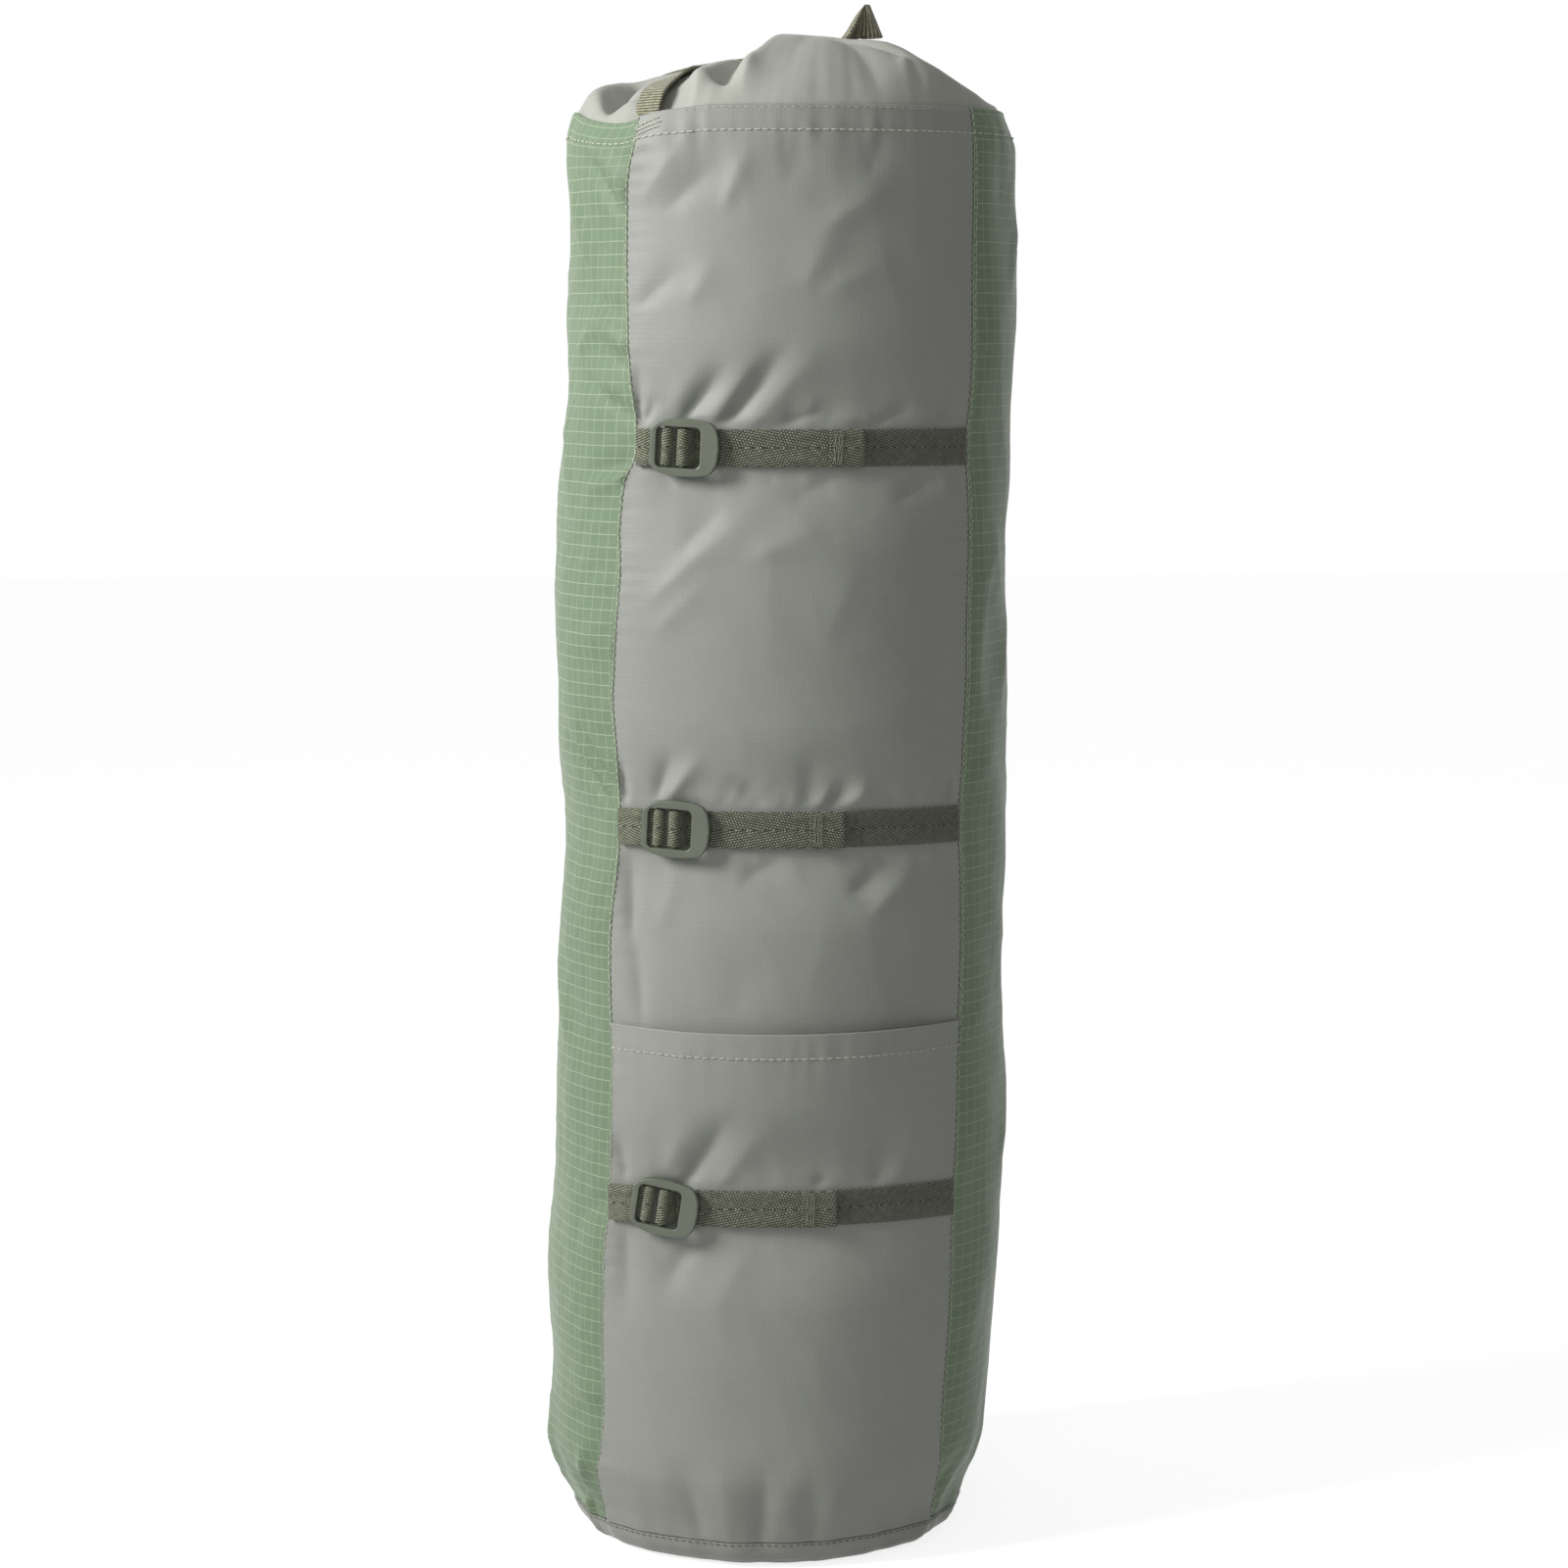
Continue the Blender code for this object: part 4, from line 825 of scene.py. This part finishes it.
def webbing_band(name, centres, acrosses, material):
    """Webbing along a route of points, its width along the vectors in acrosses, edges rounded."""
    centres, acrosses = np.array(centres, float), unit(np.array(acrosses, float))
    facing = unit(np.cross(acrosses, np.gradient(centres, axis=0)))
    side = np.array([-1, -0.992, -0.965, -0.6, -0.2, 0.2, 0.6, 0.965, 0.992, 1])
    full = np.array([0.0, 0.66, 1, 1, 1, 1, 1, 1, 0.66, 0.0])
    u = np.concatenate([side, side[-2:0:-1], side[:1]]) * strap_width / 2
    n = np.concatenate([full, -full[-2:0:-1], full[:1]]) * strap_thick / 2
    grid = centres[:, None] + acrosses[:, None] * u[None, :, None] + facing[:, None] * n[None, :, None]
    band = cloth_mesh(name, grid, pairs(u[None, :], lengths_along(centres)[:, None]), material, ring=True)
    shape = bmesh.new()
    shape.from_mesh(band.data)
    shape.verts.ensure_lookup_table()
    count = len(u) - 1
    for ring in (range(count), range(len(shape.verts) - count, len(shape.verts))):
        shape.faces.new([shape.verts[k] for k in ring]).smooth = True
    bmesh.ops.recalc_face_normals(shape, faces=shape.faces)
    shape.to_mesh(band.data)
    shape.free()
    return band


def smooth_route(points, steps):
    """A rounder route through the same points."""
    points = np.array(points, float)
    reach = lengths_along(points[:, :3])
    dense = np.linspace(0, reach[-1], steps)
    return np.stack([through(pairs(reach, column), dense) for column in points.T], -1)


def webbing(name, ground, crest_highlight, rib, slant, broken):
    """Woven polyester webbing. Its ribs run across (slant 0) or slant to a dotted middle line."""
    material, shader = finish(name, 0.68, Sheen_Weight=0.2, Sheen_Roughness=0.4)
    spot, (u, v) = weave_axes(shader)
    fray = grain(spot, (420, 420, 1))
    from_middle = calc("ABSOLUTE", u)
    place = calc("MULTIPLY_ADD", fray, 0.3, calc("MULTIPLY_ADD", from_middle, slant, v))
    rows = calc("DIVIDE", place, rib)
    ridge = calc("SINE", times(calc("FRACT", rows), math.pi))
    cords = calc("DIVIDE", v, 1.25) if slant else calc("DIVIDE", u, 0.75)
    cord = calc("FRACT", calc("MULTIPLY_ADD", calc("FLOOR", rows), 0.37, cords))
    cord = calc("SINE", times(cord, math.pi))
    height = times(ridge, calc("MULTIPLY_ADD", cord, broken, 1 - broken))
    # painted shade: where the weave lies low the colour falls to a seventh of the ground; where it stands high,
    # patchy by noise, it rises to the second colour as a painted highlight
    painted_groove_shade = toned(ground, 0.14, 0.14, 0.14)
    tone = between(ramp(height, 0.2, 0.62), painted_groove_shade, ground)
    tone = between(ramp(times(height, fray), 0.25, 0.6), tone, crest_highlight)
    if slant:
        # the middle line's dots are pressed in and painted with the same shade
        dots = ramp(calc("SINE", times(v, 2 * math.pi / 4.3)), 0.55, 0.8)
        dots = times(ramp(from_middle, 0.62, 0.3), dots)
        tone = between(times(dots, 0.85), tone, painted_groove_shade)
        height = calc("SUBTRACT", height, times(dots, 0.6))
    dress(shader, tone, height, 1.0, 0.0004)
    return material


# its second colour is the painted highlight on the ribs' crests
handle_webbing = webbing("handle_webbing", paint(130, 130, 106), paint(182, 178, 148), 1.1, 0.0, 0.25)
seam_at_top = seam_turn(np.array([sack_height]))
front_foot = wall_point(np.array([sack_height]), -seam_at_top + 0.001)[0]
rear_foot = wall_point(np.array([sack_height]), seam_at_top - math.pi)[0]
front_foot[2] = rear_foot[2] = sack_height
# the sewn ends, from inside the hem up and over: steps to the right, inwards and up from the foot
root_moves = [(3.6, 4.6, -15), (3.4, 4.2, -10), (3.2, 3.6, -5), (3.4, 3.6, -1), (4.4, 4.4, 3), (6.2, 5.8, 6.6)]
# the way to the bight and back: shares of the sack's half width and half depth, height over the
# hem, and the direction of the webbing's width
front_way = [
    (-0.51, -0.54, 11.5, (0.5, -0.86, 0.1)), (-0.42, -0.40, 14.4, (0.16, -0.95, 0.3)),
    (-0.31, -0.20, 16.0, (0, -1, 0.16)), (-0.12, 0.03, 19.6, (0, -1, 0.06)),
    (0.07, 0.16, 24.2, (0.15, -1, 0.08)), (0.258, 0.215, 28.4, (0.15, -0.9, 0.34)),
]
rear_way = [
    (0.258, 0.385, 29.8, (0.15, 0.9, 0.4)), (0.04, 0.45, 27.5, (0.15, 1, 0.15)), (-0.20, 0.53, 24.5, (0, 1, 0)),
    (-0.41, 0.62, 21.5, (0, 1, 0)), (-0.56, 0.68, 16.5, (0, 1, 0)),
]
bight_radius = 3.9


def over_hem(share_x, share_y, rise):
    return np.array([share_x * half_size[0], sack_y + share_y * half_size[1], sack_height + rise])


def handle_root(foot, across, inwards):
    return [(*(foot + (move[0], inwards * move[1], move[2])), *across) for move in root_moves]


def handle_way(stations):
    return [(*over_hem(x, y, rise), *across) for x, y, rise, across in stations]


handle_route = handle_root(front_foot, (0.587, -0.81, 0.0), 1) + handle_way(front_way)
bight = over_hem(0.380, 0.30, 39.9)
for around in np.radians(np.linspace(-118, 118, 11)):
    out = np.array([math.cos(around), math.sin(around), 0])
    handle_route.append((*(bight + out * bight_radius), *(np.array([0, 0, 1]) - out * 0.42)))
handle_route += handle_way(rear_way) + handle_root(rear_foot, (0.587, 0.81, 0.0), -1)[::-1]
handle_path = smooth_route(handle_route, 320)

# it presses a groove into the collar: no cloth beside it stands over a ceiling just below it, which
# leans with the webbing and rises again past its edges
lying = handle_path[handle_path[:, 2] > sack_height + 8]
cloth_spots = np.array([v.co[:] for v in collar.data.vertices]) / MM
beside = cloth_spots[:, None, :2].astype(np.float32) - lying[None, :, :2].astype(np.float32)
nearest = (beside**2).sum(2).argmin(1)
beside = cloth_spots[:, :2] - lying[nearest, :2]
sideways_length = np.linalg.norm(lying[nearest, 3:5], axis=1)
sideways = lying[nearest, 3:5] / sideways_length[:, None]
tilt = np.clip(lying[nearest, 5] / sideways_length, -0.35, 0.35)
half_band, webbing_gap = 8.0, 1.1
over_by = np.clip((beside * sideways).sum(1), -half_band, half_band) * tilt
room = np.maximum(np.linalg.norm(beside, axis=1) - half_band, 0)
ceiling = lying[nearest, 2] + over_by - webbing_gap + 0.35 * room + 0.1 * room**2
cloth_spots[:, 2] = ceiling - 0.5 * np.logaddexp(0, (ceiling - cloth_spots[:, 2]) / 0.5)
for vertex, spot in zip(collar.data.vertices, cloth_spots):
    vertex.co = spot * MM
handle = webbing_band("handle_webbing_loop", handle_path[:, :3], handle_path[:, 3:], handle_webbing)
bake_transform(handle)
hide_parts("top_handle", "handle_front_end", "handle_rear_end")

# ---------------------------------------------------------------------------------------------
# Straps and ladder-locks. Flat 15 mm herringbone webbing: a short doubled anchor from the left
# seam holds each moulded lock by its first bar; the long strap comes from the right seam, turns
# round the second bar and lies back over itself as the tail, its end folded and bar-tacked.
clearance = 0.3
layer = strap_thick + clearance
low, high = clearance + strap_thick / 2, clearance + strap_thick / 2 + layer
lock_length, lock_half_width, window_half = 28.0, 11.3, 8.0
plate_foot, plate_thick = 1.6, 4.3  # the lock's frame before its hollows are cut
bar_radius, bar_length = 1.05, 17.6
bar_places = (6.3, 12.8)
bar_out = clearance + strap_thick + clearance + 1.3
turn_start, turn_end, turn_dive = 16.4, 26.5, 4.2
fold_length, fold_layer, fold_nose = 11.0, 1.1, 0.9
tack_half_width, tack_points, tack_shifts = 6.3, 28, (-0.3, 1.0, 2.1)
# the straps' names, the lengths of their anchors, where their tails end along the front, and how far
# each lock is turned, in degrees
strap_rows = [("upper", 12.9, 25.0, 3), ("middle", 9.5, 18.0, 3), ("lower", 9.5, 18.0, 9)]
# the second colour of each is the painted highlight on the ribs' crests
strap_webbing = webbing("strap_webbing", paint(108, 111, 90), paint(160, 160, 134), 2.7, 2.6, 0.45)
# the run is the same webbing as the turn and the tail, given darker colours as painted shade
shaded_run_webbing = webbing("strap_run_webbing_painted_shade", paint(82, 83, 71), paint(116, 115, 100), 2.7, 2.6, 0.3)
tail_webbing = webbing("strap_tail_webbing", paint(104, 106, 88), paint(166, 164, 142), 5.0, 4.8, 0.8)
# share of the lock's length from the anchor's side to the rounded lip, and of its half width
lock_outline = [
    (0, 0.6), (0.045, 0.72), (0.14, 0.88), (0.3, 0.98), (0.55, 1), (0.8, 0.94), (0.9, 0.83), (0.96, 0.6),
    (0.99, 0.35), (1, 0),
]


def block(start, stop, corner):
    """A block between two of its corners, rounded if asked, to cut the lock's mould with."""
    bpy.ops.mesh.primitive_cube_add(size=1)
    made = bpy.context.object
    start, stop = Vector(start), Vector(stop)
    made.data.transform(Matrix.Translation((start + stop) / 2) @ Matrix.Diagonal((*(stop - start), 1)))
    shape = bmesh.new()
    shape.from_mesh(made.data)
    if corner:
        upright = [e for e in shape.edges if abs(e.verts[0].co.y - e.verts[1].co.y) > 1]
        bmesh.ops.bevel(shape, geom=upright, offset=corner, segments=6, profile=0.5, affect="EDGES")
    shape.to_mesh(made.data)
    shape.free()
    return made


def bar(place):
    bpy.ops.mesh.primitive_cylinder_add(vertices=24, radius=bar_radius, depth=bar_length)
    made = bpy.context.object
    made.data.transform(Matrix.Translation((place, -bar_out, 0)))
    return made


def moulded_lock():
    """The lock's mesh in mm: frame cut from a plate, two bars set in, every edge softened."""
    shares = np.linspace(0, 1, 60)
    half = [(u * lock_length, w * lock_half_width) for u, w in zip(shares, through(lock_outline, shares))]
    outline = half + [(u, -w) for u, w in reversed(half[:-1])]
    shape = bmesh.new()
    shape.faces.new([shape.verts.new((u, -plate_foot, w)) for u, w in outline])
    grown = bmesh.ops.extrude_face_region(shape, geom=list(shape.faces))
    raised = [v for v in grown["geom"] if isinstance(v, bmesh.types.BMVert)]
    bmesh.ops.translate(shape, verts=raised, vec=(0, -plate_thick, 0))
    bmesh.ops.recalc_face_normals(shape, faces=shape.faces)
    mesh = bpy.data.meshes.new("lock_plate")
    shape.to_mesh(mesh)
    shape.free()
    plate = placed("lock_plate", mesh)
    # the window, the channel that the webbing runs in, and the hollow under the lip
    channel_top = clearance + 2 * layer + clearance
    window = block((2.5, -20, -window_half), (lock_length - 7.5, 10, window_half), 2.2)
    channel = block((-20, -channel_top, -window_half), (60, 10, window_half), 0)
    under_lip = block((16, -channel_top, -30), (60, 10, 30), 0)
    steps = [(tool, "DIFFERENCE") for tool in (window, channel, under_lip)]
    steps += [(bar(place), "UNION") for place in bar_places]
    for tool, way in steps:
        change = plate.modifiers.new(way, "BOOLEAN")
        change.object, change.operation = tool, way
    soft = plate.modifiers.new("soften", "REMESH")
    soft.mode, soft.voxel_size = "VOXEL", 0.3
    smooth = plate.modifiers.new("smooth", "SMOOTH")
    smooth.factor, smooth.iterations = 0.5, 5
    made = worked_mesh(plate)
    for thing in [plate] + [tool for tool, _ in steps]:
        bpy.data.objects.remove(thing)
    made.materials.clear()
    made.shade_smooth()
    return made


def moulded_plastic():
    material, shader = finish("buckle_plastic", 0.36, IOR=1.5)
    spot = object_spot(shader)
    cloudy, pores = grain(spot, (160, 160, 160), 3.0), grain(spot, (3000, 3000, 3000), 1.0)
    shader.id_data.links.new(ramp(cloudy, 0.3, 0.7, 0.32, 0.44), shader.inputs["Roughness"])
    dress(shader, between(cloudy, paint(88, 94, 80), paint(100, 106, 91)), pores, 0.25, 0.00004)
    return material


def arc_spot(height, along, out):
    """A point over the front's arc, along it from its middle, at a height."""
    middle, centre_y, radius, _ = front_arc(height)
    angle, reach = along / radius, radius + out
    return np.array([middle + reach * math.sin(angle), centre_y - reach * math.cos(angle), height])


def arc_run(height, start, stop, out_start, out_stop, steps):
    shares = np.linspace(0, 1, steps)
    return [arc_spot(height, start + (stop - start) * t, out_start + (out_stop - out_start) * t) for t in shares]


def round_bar(place, towards, degrees):
    """Webbing round a bar in the lock's own frame, from below it, as (along, out)."""
    bend = bar_radius + clearance + strap_thick / 2
    around = -math.pi / 2 - np.linspace(0, math.radians(degrees), 18)
    return [(place + towards * bend * math.cos(a), bar_out + bend * math.sin(a)) for a in around]


def laid_webbing(name, parts, steps, material):
    """Webbing along parts joined end to end, each a list of points and the vector of its width."""
    route = [(*spot, *across) for spots, across in parts for spot in spots]
    route = smooth_route(route, steps)
    return webbing_band(name, route[:, :3], route[:, 3:], material)


lock_mesh = moulded_lock()
lock_plastic = moulded_plastic()
upright = np.array([0.0, 0.0, 1.0])
for height, (name, anchor_length, tail_reach, turned) in zip(strap_heights, strap_rows):
    _, _, radius, half_angle = front_arc(height)
    stack = pocket_layer if height < pocket_mouth else 0.0
    seam = float(radius * half_angle)
    anchor_from, run_to = drawn_in(height, -1) - seam + 0.3, seam - drawn_in(height, 1) - 0.3
    left_edge = -seam + anchor_length
    lock_middle = left_edge + lock_length / 2
    lock_frame = (
        Matrix.Translation(arc_spot(height, lock_middle, stack))
        @ Matrix.Rotation(lock_middle / radius, 4, "Z")
        @ Matrix.Rotation(math.radians(turned), 4, "Y")
        @ Matrix.Translation((-lock_length / 2, 0, 0))
    )

    def in_lock(u, out, w=0.0):
        return np.array(lock_frame @ Vector((u, -out, w)))

    sag = (lock_length / 2) ** 2 / (2 * (radius + stack))
    lock_across = in_lock(0, 0, 1) - in_lock(0, 0, 0)
    lock = placed(f"{name}_ladder_lock", lock_mesh.copy())
    lock.data.transform(Matrix.Scale(MM, 4) @ lock_frame)
    lock.data.materials.append(lock_plastic)
    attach(lock, f"{name}_lock")
    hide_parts(f"{name}_buckle")

    # the anchor: from the seam, round the first bar and back to the seam, in two layers
    reach = anchor_length - 2.5
    bend = round_bar(bar_places[0], -1, 225)
    bend.append((bend[-1][0] - (bend[-1][1] - high), high))
    loop = [in_lock(u, out) for u, out in bend]
    lower = arc_run(height, anchor_from, -seam + reach, stack + low, stack + low + sag, 8)
    upper = arc_run(height, -seam + reach, anchor_from, stack + high + sag, stack + high, 8)
    parts = [(lower, upright), (loop, lock_across), (upper, upright)]
    anchor = laid_webbing(f"{name}_anchor_strap", parts, 120, strap_webbing)
    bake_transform(anchor)
    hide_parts(f"{name}_anchor_webbing", f"{name}_anchor_loop")

    # the strap's turn: out of the hollow, round the second bar and back, both layers flat past it
    bar_at = bar_places[1]
    bend = [(bar_at + 0.9, -0.4)] + round_bar(bar_at, 1, 258) + [(bar_at + 2.1, 0.9)]
    loop = [in_lock(u, out) for u, out in bend]
    flat_from, flat_to = left_edge + turn_start, left_edge + turn_end
    dive = [(share, -turn_dive * (1 - ease((share - 0.15) / 0.7))) for share in np.linspace(0, 1, 10)]
    lower, upper = [
        [arc_spot(height, flat_from + (flat_to - flat_from) * t, stack + out + drop) for t, drop in dive]
        for out in (low, high)
    ]
    parts = [(lower[::-1], upright), (loop, lock_across), (upper, upright)]
    turn = laid_webbing(f"{name}_strap_round_bar", parts, 120, strap_webbing)
    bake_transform(turn)
    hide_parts(f"{name}_strap_turn")

    # the run to the right seam, its webbing darker as painted shade, and the tail over it
    run = arc_run(height, flat_to + 0.1, run_to, stack + low, stack + low, 60)
    strap = webbing_band(f"{name}_strap_to_seam", run, [upright] * len(run), shaded_run_webbing)
    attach(strap, "sack")
    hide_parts(f"{name}_strap_run")
    fold_start = tail_reach - fold_length
    over = stack + high
    tail_line = arc_run(height, flat_to + 0.1, fold_start + 0.6, over, over + 0.1, 40)
    tail = webbing_band(f"{name}_tail", tail_line, [upright] * len(tail_line), tail_webbing)
    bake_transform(tail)
    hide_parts(f"{name}_strap_tail")

    # the tail's end, folded back over itself and sewn down with a bar tack
    fold_end = tail_reach - fold_nose
    fold = arc_run(height, fold_start + 0.6, fold_end, over, over, 12)
    fold += [
        arc_spot(
            height, fold_end + fold_nose * math.sin(a), over + fold_layer / 2 - fold_layer / 2 * math.cos(a)
        )
        for a in np.linspace(0.2, math.pi - 0.2, 8)
    ]
    fold += arc_run(height, fold_end, fold_start - 2.5, over + fold_layer, over + fold_layer, 14)
    end = laid_webbing(f"{name}_tail_fold", [(fold, upright)], 70, tail_webbing)
    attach(end, f"{name}_tail")
    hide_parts(f"{name}_tail_end")
    across = np.linspace(-tack_half_width, tack_half_width, tack_points)
    zigzag = list(zip(across, 0.45 * (-1.0) ** np.arange(tack_points)))
    tacks = [
        [arc_spot(height + w, fold_start + shift + z, over + 1.75) for w, z in zigzag] for shift in tack_shifts
    ]
    sew(f"{name}_bar_tack", tacks, tack_thread, f"{name}_tail", 0.95, 1.1, 0.2)

# ---------------------------------------------------------------------------------------------
# Rolled tent. The inner tent, pale cloth with mesh, is rolled round the poles and pegs, and the
# green flysheet is rolled round it; the wraps press out to fill the sack.
contents_frame = Matrix.Translation((-6.0, sack_y, 0)) @ Matrix.Rotation(math.radians(1.0), 4, "Y")


def in_sack(grid):
    return grid @ np.array(contents_frame.to_3x3()).T + np.array(contents_frame.translation)


def rolled_sheet(name, inner, outer, turns, material, node):
    around = np.linspace(0, turns, int(turns * 64))[:, None] * 2 * math.pi
    rise = np.linspace(26, 571, 14)[None, :]
    radius = inner + (outer - inner) * around / around[-1]
    slack = 0.5 * np.sin(around * 3.1 + rise * 0.02)
    radius = radius + slack * ease((outer - radius) / 3) * ease((radius - inner) / 3)
    grid = np.stack(np.broadcast_arrays(1.07 * radius * np.cos(around), radius * np.sin(around), rise), -1)
    lengths = lengths_along(grid[:, 0])
    weave = pairs(lengths[:, None], rise)
    roll = cloth_mesh(name, in_sack(grid).swapaxes(0, 1), weave.swapaxes(0, 1), material)
    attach(roll, "sack")
    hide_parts(node)


inner_cloth = ripstop("inner_tent_cloth", paint(204, 198, 172), paint(214, 209, 186), 3.0, 0.2, 0.4, 0.4, 0.6)
fly_cloth = ripstop("flysheet_cloth", paint(132, 152, 128), paint(178, 198, 164), 5.0, 0.3, 0.8, 0.5, 0.42)
rolled_sheet("rolled_inner_tent", 38.4, 58.0, 9, inner_cloth, "inner_tent_roll")
rolled_sheet("rolled_flysheet", 59.2, 74.6, 7, fly_cloth, "flysheet_roll")

# ---------------------------------------------------------------------------------------------
# Poles and pegs. Aluminium tube sections on elastic cord and V pegs of folded sheet, each kind in
# a small sack of dark cloth with a turned mouth.


def small_sack(name, half, power, y, bottom, top, node):
    """A flat-bottomed sack, its half sizes in plan given, with a hem turned down inside its mouth."""
    around = np.linspace(-math.pi, math.pi, 121)[None, :]
    rows = [(0.0, 0.02), (0.05, 0.5), (0.15, 0.8), (0.9, 0.94), (2.2, 0.985), (4.0, 1.0)]
    rows += [(4 + k, 1.0) for k in np.linspace(6, top - bottom - 6, 50)] + [(top - bottom, 1.0)]
    rise, share = np.array(rows).T[:, :, None]
    slack = 1 - 0.02 * np.abs(wander(around * 14, rise, 16, y)) * (rise > 5)
    x = half[0] * share * slack * rounded(np.cos(around), power)
    sideways = half[1] * share * slack * rounded(np.sin(around), power)
    grid = np.stack(np.broadcast_arrays(x, y + sideways, bottom + rise), -1)
    grid[:, -1] = grid[:, 0]
    hem = grid[-1:].repeat(3, 0)
    middle = np.array([0, y])
    hem[:, :, :2] = middle + (hem[:, :, :2] - middle) * 0.965
    hem[..., 2] -= np.array([0.2, 4, 8])[:, None]
    lengths = np.concatenate([rise[:, 0], rise[-1, 0] + np.array([1.0, 5, 9])])[:, None]
    weave = pairs(np.linspace(0, 4 * (half[0] + half[1]) * 0.9, 121)[None, :], lengths)
    sack = cloth_mesh(name, in_sack(np.concatenate([grid, hem])), weave, small_sack_cloth, ring=True)
    wall = sack.modifiers.new("wall", "SOLIDIFY")
    wall.thickness = 0.4 * MM
    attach(sack, "sack")
    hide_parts(node)


def drawn_metal(name, colour, roughness):
    """Aluminium with fine marks along its length."""
    material, shader = finish(name, roughness, Metallic=1.0)
    marks = grain(object_spot(shader), (2200, 2200, 26), 3.0)
    rough = ramp(marks, 0.2, 0.8, roughness - 0.06, roughness + 0.12)
    shader.id_data.links.new(rough, shader.inputs["Roughness"])
    dress(shader, between(marks, toned(colour, 0.8, 0.8, 0.8), colour), marks, 0.3, 0.00005)
    return material


small_sack_cloth = ripstop(
    "small_sack_cloth", paint(92, 100, 88), paint(110, 118, 104), 4.0, 0.25, 0.5, 0.5, 0.55
)
small_sack("pole_sack_cloth", (30.6, 16.1), 4, -12.0, 21, 535, "pole_sack")
small_sack("peg_sack_cloth", (9.6, 14.1), 5, 20.0, 28, 262, "peg_sack")
pole_metal = drawn_metal("pole_metal", paint(196, 197, 200), 0.3)
peg_metal = drawn_metal("peg_metal", paint(205, 205, 202), 0.38)
for name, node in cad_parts.items():
    if name.startswith(("pole_1_section", "pole_2_section", "repair_sleeve")):
        node.material_slots[0].material = pole_metal
    elif name.startswith("peg_") and name != "peg_sack":
        node.material_slots[0].material = peg_metal

cord_finish, shader = finish("shock_cord", 0.65, Sheen_Weight=0.3)
braid = object_spot(shader)
braid = wire(shader.id_data, "ShaderNodeTexWave", braid, 700.0, 3.0, 1.0, bands_direction="DIAGONAL")
dress(shader, between(braid, paint(30, 31, 30), paint(64, 66, 62)), braid, 0.7, 0.0003)
for number in (1, 2):
    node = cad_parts[f"pole_{number}_shock_cord"]
    shape = bmesh.new()
    shape.from_mesh(node.data)
    bmesh.ops.remove_doubles(shape, verts=shape.verts, dist=0.00001)
    bmesh.ops.dissolve_limit(shape, angle_limit=0.02, verts=shape.verts, edges=shape.edges)
    mesh = bpy.data.meshes.new(f"pole_{number}_elastic_cord")
    shape.to_mesh(mesh)
    shape.free()
    mesh.shade_smooth()
    mesh.materials.append(cord_finish)
    elastic = placed(mesh.name, mesh)
    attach(elastic, "sack")
    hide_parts(node.name)

# ---------------------------------------------------------------------------------------------
# Floor, light and camera. A plain white floor that keeps the shadow, soft light from the upper
# left, and a camera level with the sack's upper half, tipped a little down.


def seen_directly(tree):
    """1 for the rays that show a thing to the camera, straight, mirrored or through another."""
    rays = tree.nodes.new("ShaderNodeLightPath").outputs
    indirect = calc("MAXIMUM", rays["Is Glossy Ray"], rays["Is Transmission Ray"])
    return calc("MAXIMUM", rays["Is Camera Ray"], indirect)


bpy.ops.mesh.primitive_plane_add(size=12)
floor = bpy.context.object
floor.name = "floor"
floor_finish, shader = finish("white_floor", 0.9, Base_Color=(0.55, 0.55, 0.55, 1))
tree = floor_finish.node_tree
glow = wire(tree, "ShaderNodeEmission", {"Strength": times(seen_directly(tree), 0.8)})
both = wire(tree, "ShaderNodeAddShader", shader.outputs[0], glow)
tree.links.new(both, tree.nodes["Material Output"].inputs["Surface"])
floor.data.materials.append(floor_finish)

world = bpy.data.worlds.new("studio")
bpy.context.scene.world = world
world.use_nodes = True
tree = world.node_tree
background = tree.nodes["Background"].inputs
background["Color"].default_value = (1, 1, 1, 1)
tree.links.new(ramp(seen_directly(tree), 0.0, 1.0, 0.2, 1.0), background["Strength"])


def soft_lamp(name, place, aim, size, watts):
    lamp = bpy.data.lights.new(name, "AREA")
    lamp.shape = "RECTANGLE"
    lamp.size, lamp.size_y = size
    lamp.energy = watts
    thing = placed(name, lamp)
    thing.location = place
    thing.rotation_euler = (Vector(aim) - Vector(place)).to_track_quat("-Z", "Y").to_euler()


soft_lamp("key", (-1.17, -0.46, 1.0), (0, 0, 0.5), (0.42, 0.55), 21.5)
soft_lamp("front_fill", (-0.1, -2.2, 1.0), (0, 0, 0.45), (1.6, 1.6), 7.3)
soft_lamp("top", (-0.4, 0.3, 1.9), (0, 0, 0.5), (1.0, 1.0), 1.2)

lens = bpy.data.cameras.new("camera")
lens.lens, lens.sensor_width = 83.25, 36
camera = placed("camera", lens)
camera.location = (-0.0942, -1.4938, 0.499)
camera.rotation_euler = (math.radians(82.91), 0, math.radians(-3.6))
bpy.context.scene.camera = camera
bpy.context.scene.view_settings.view_transform = "Standard"
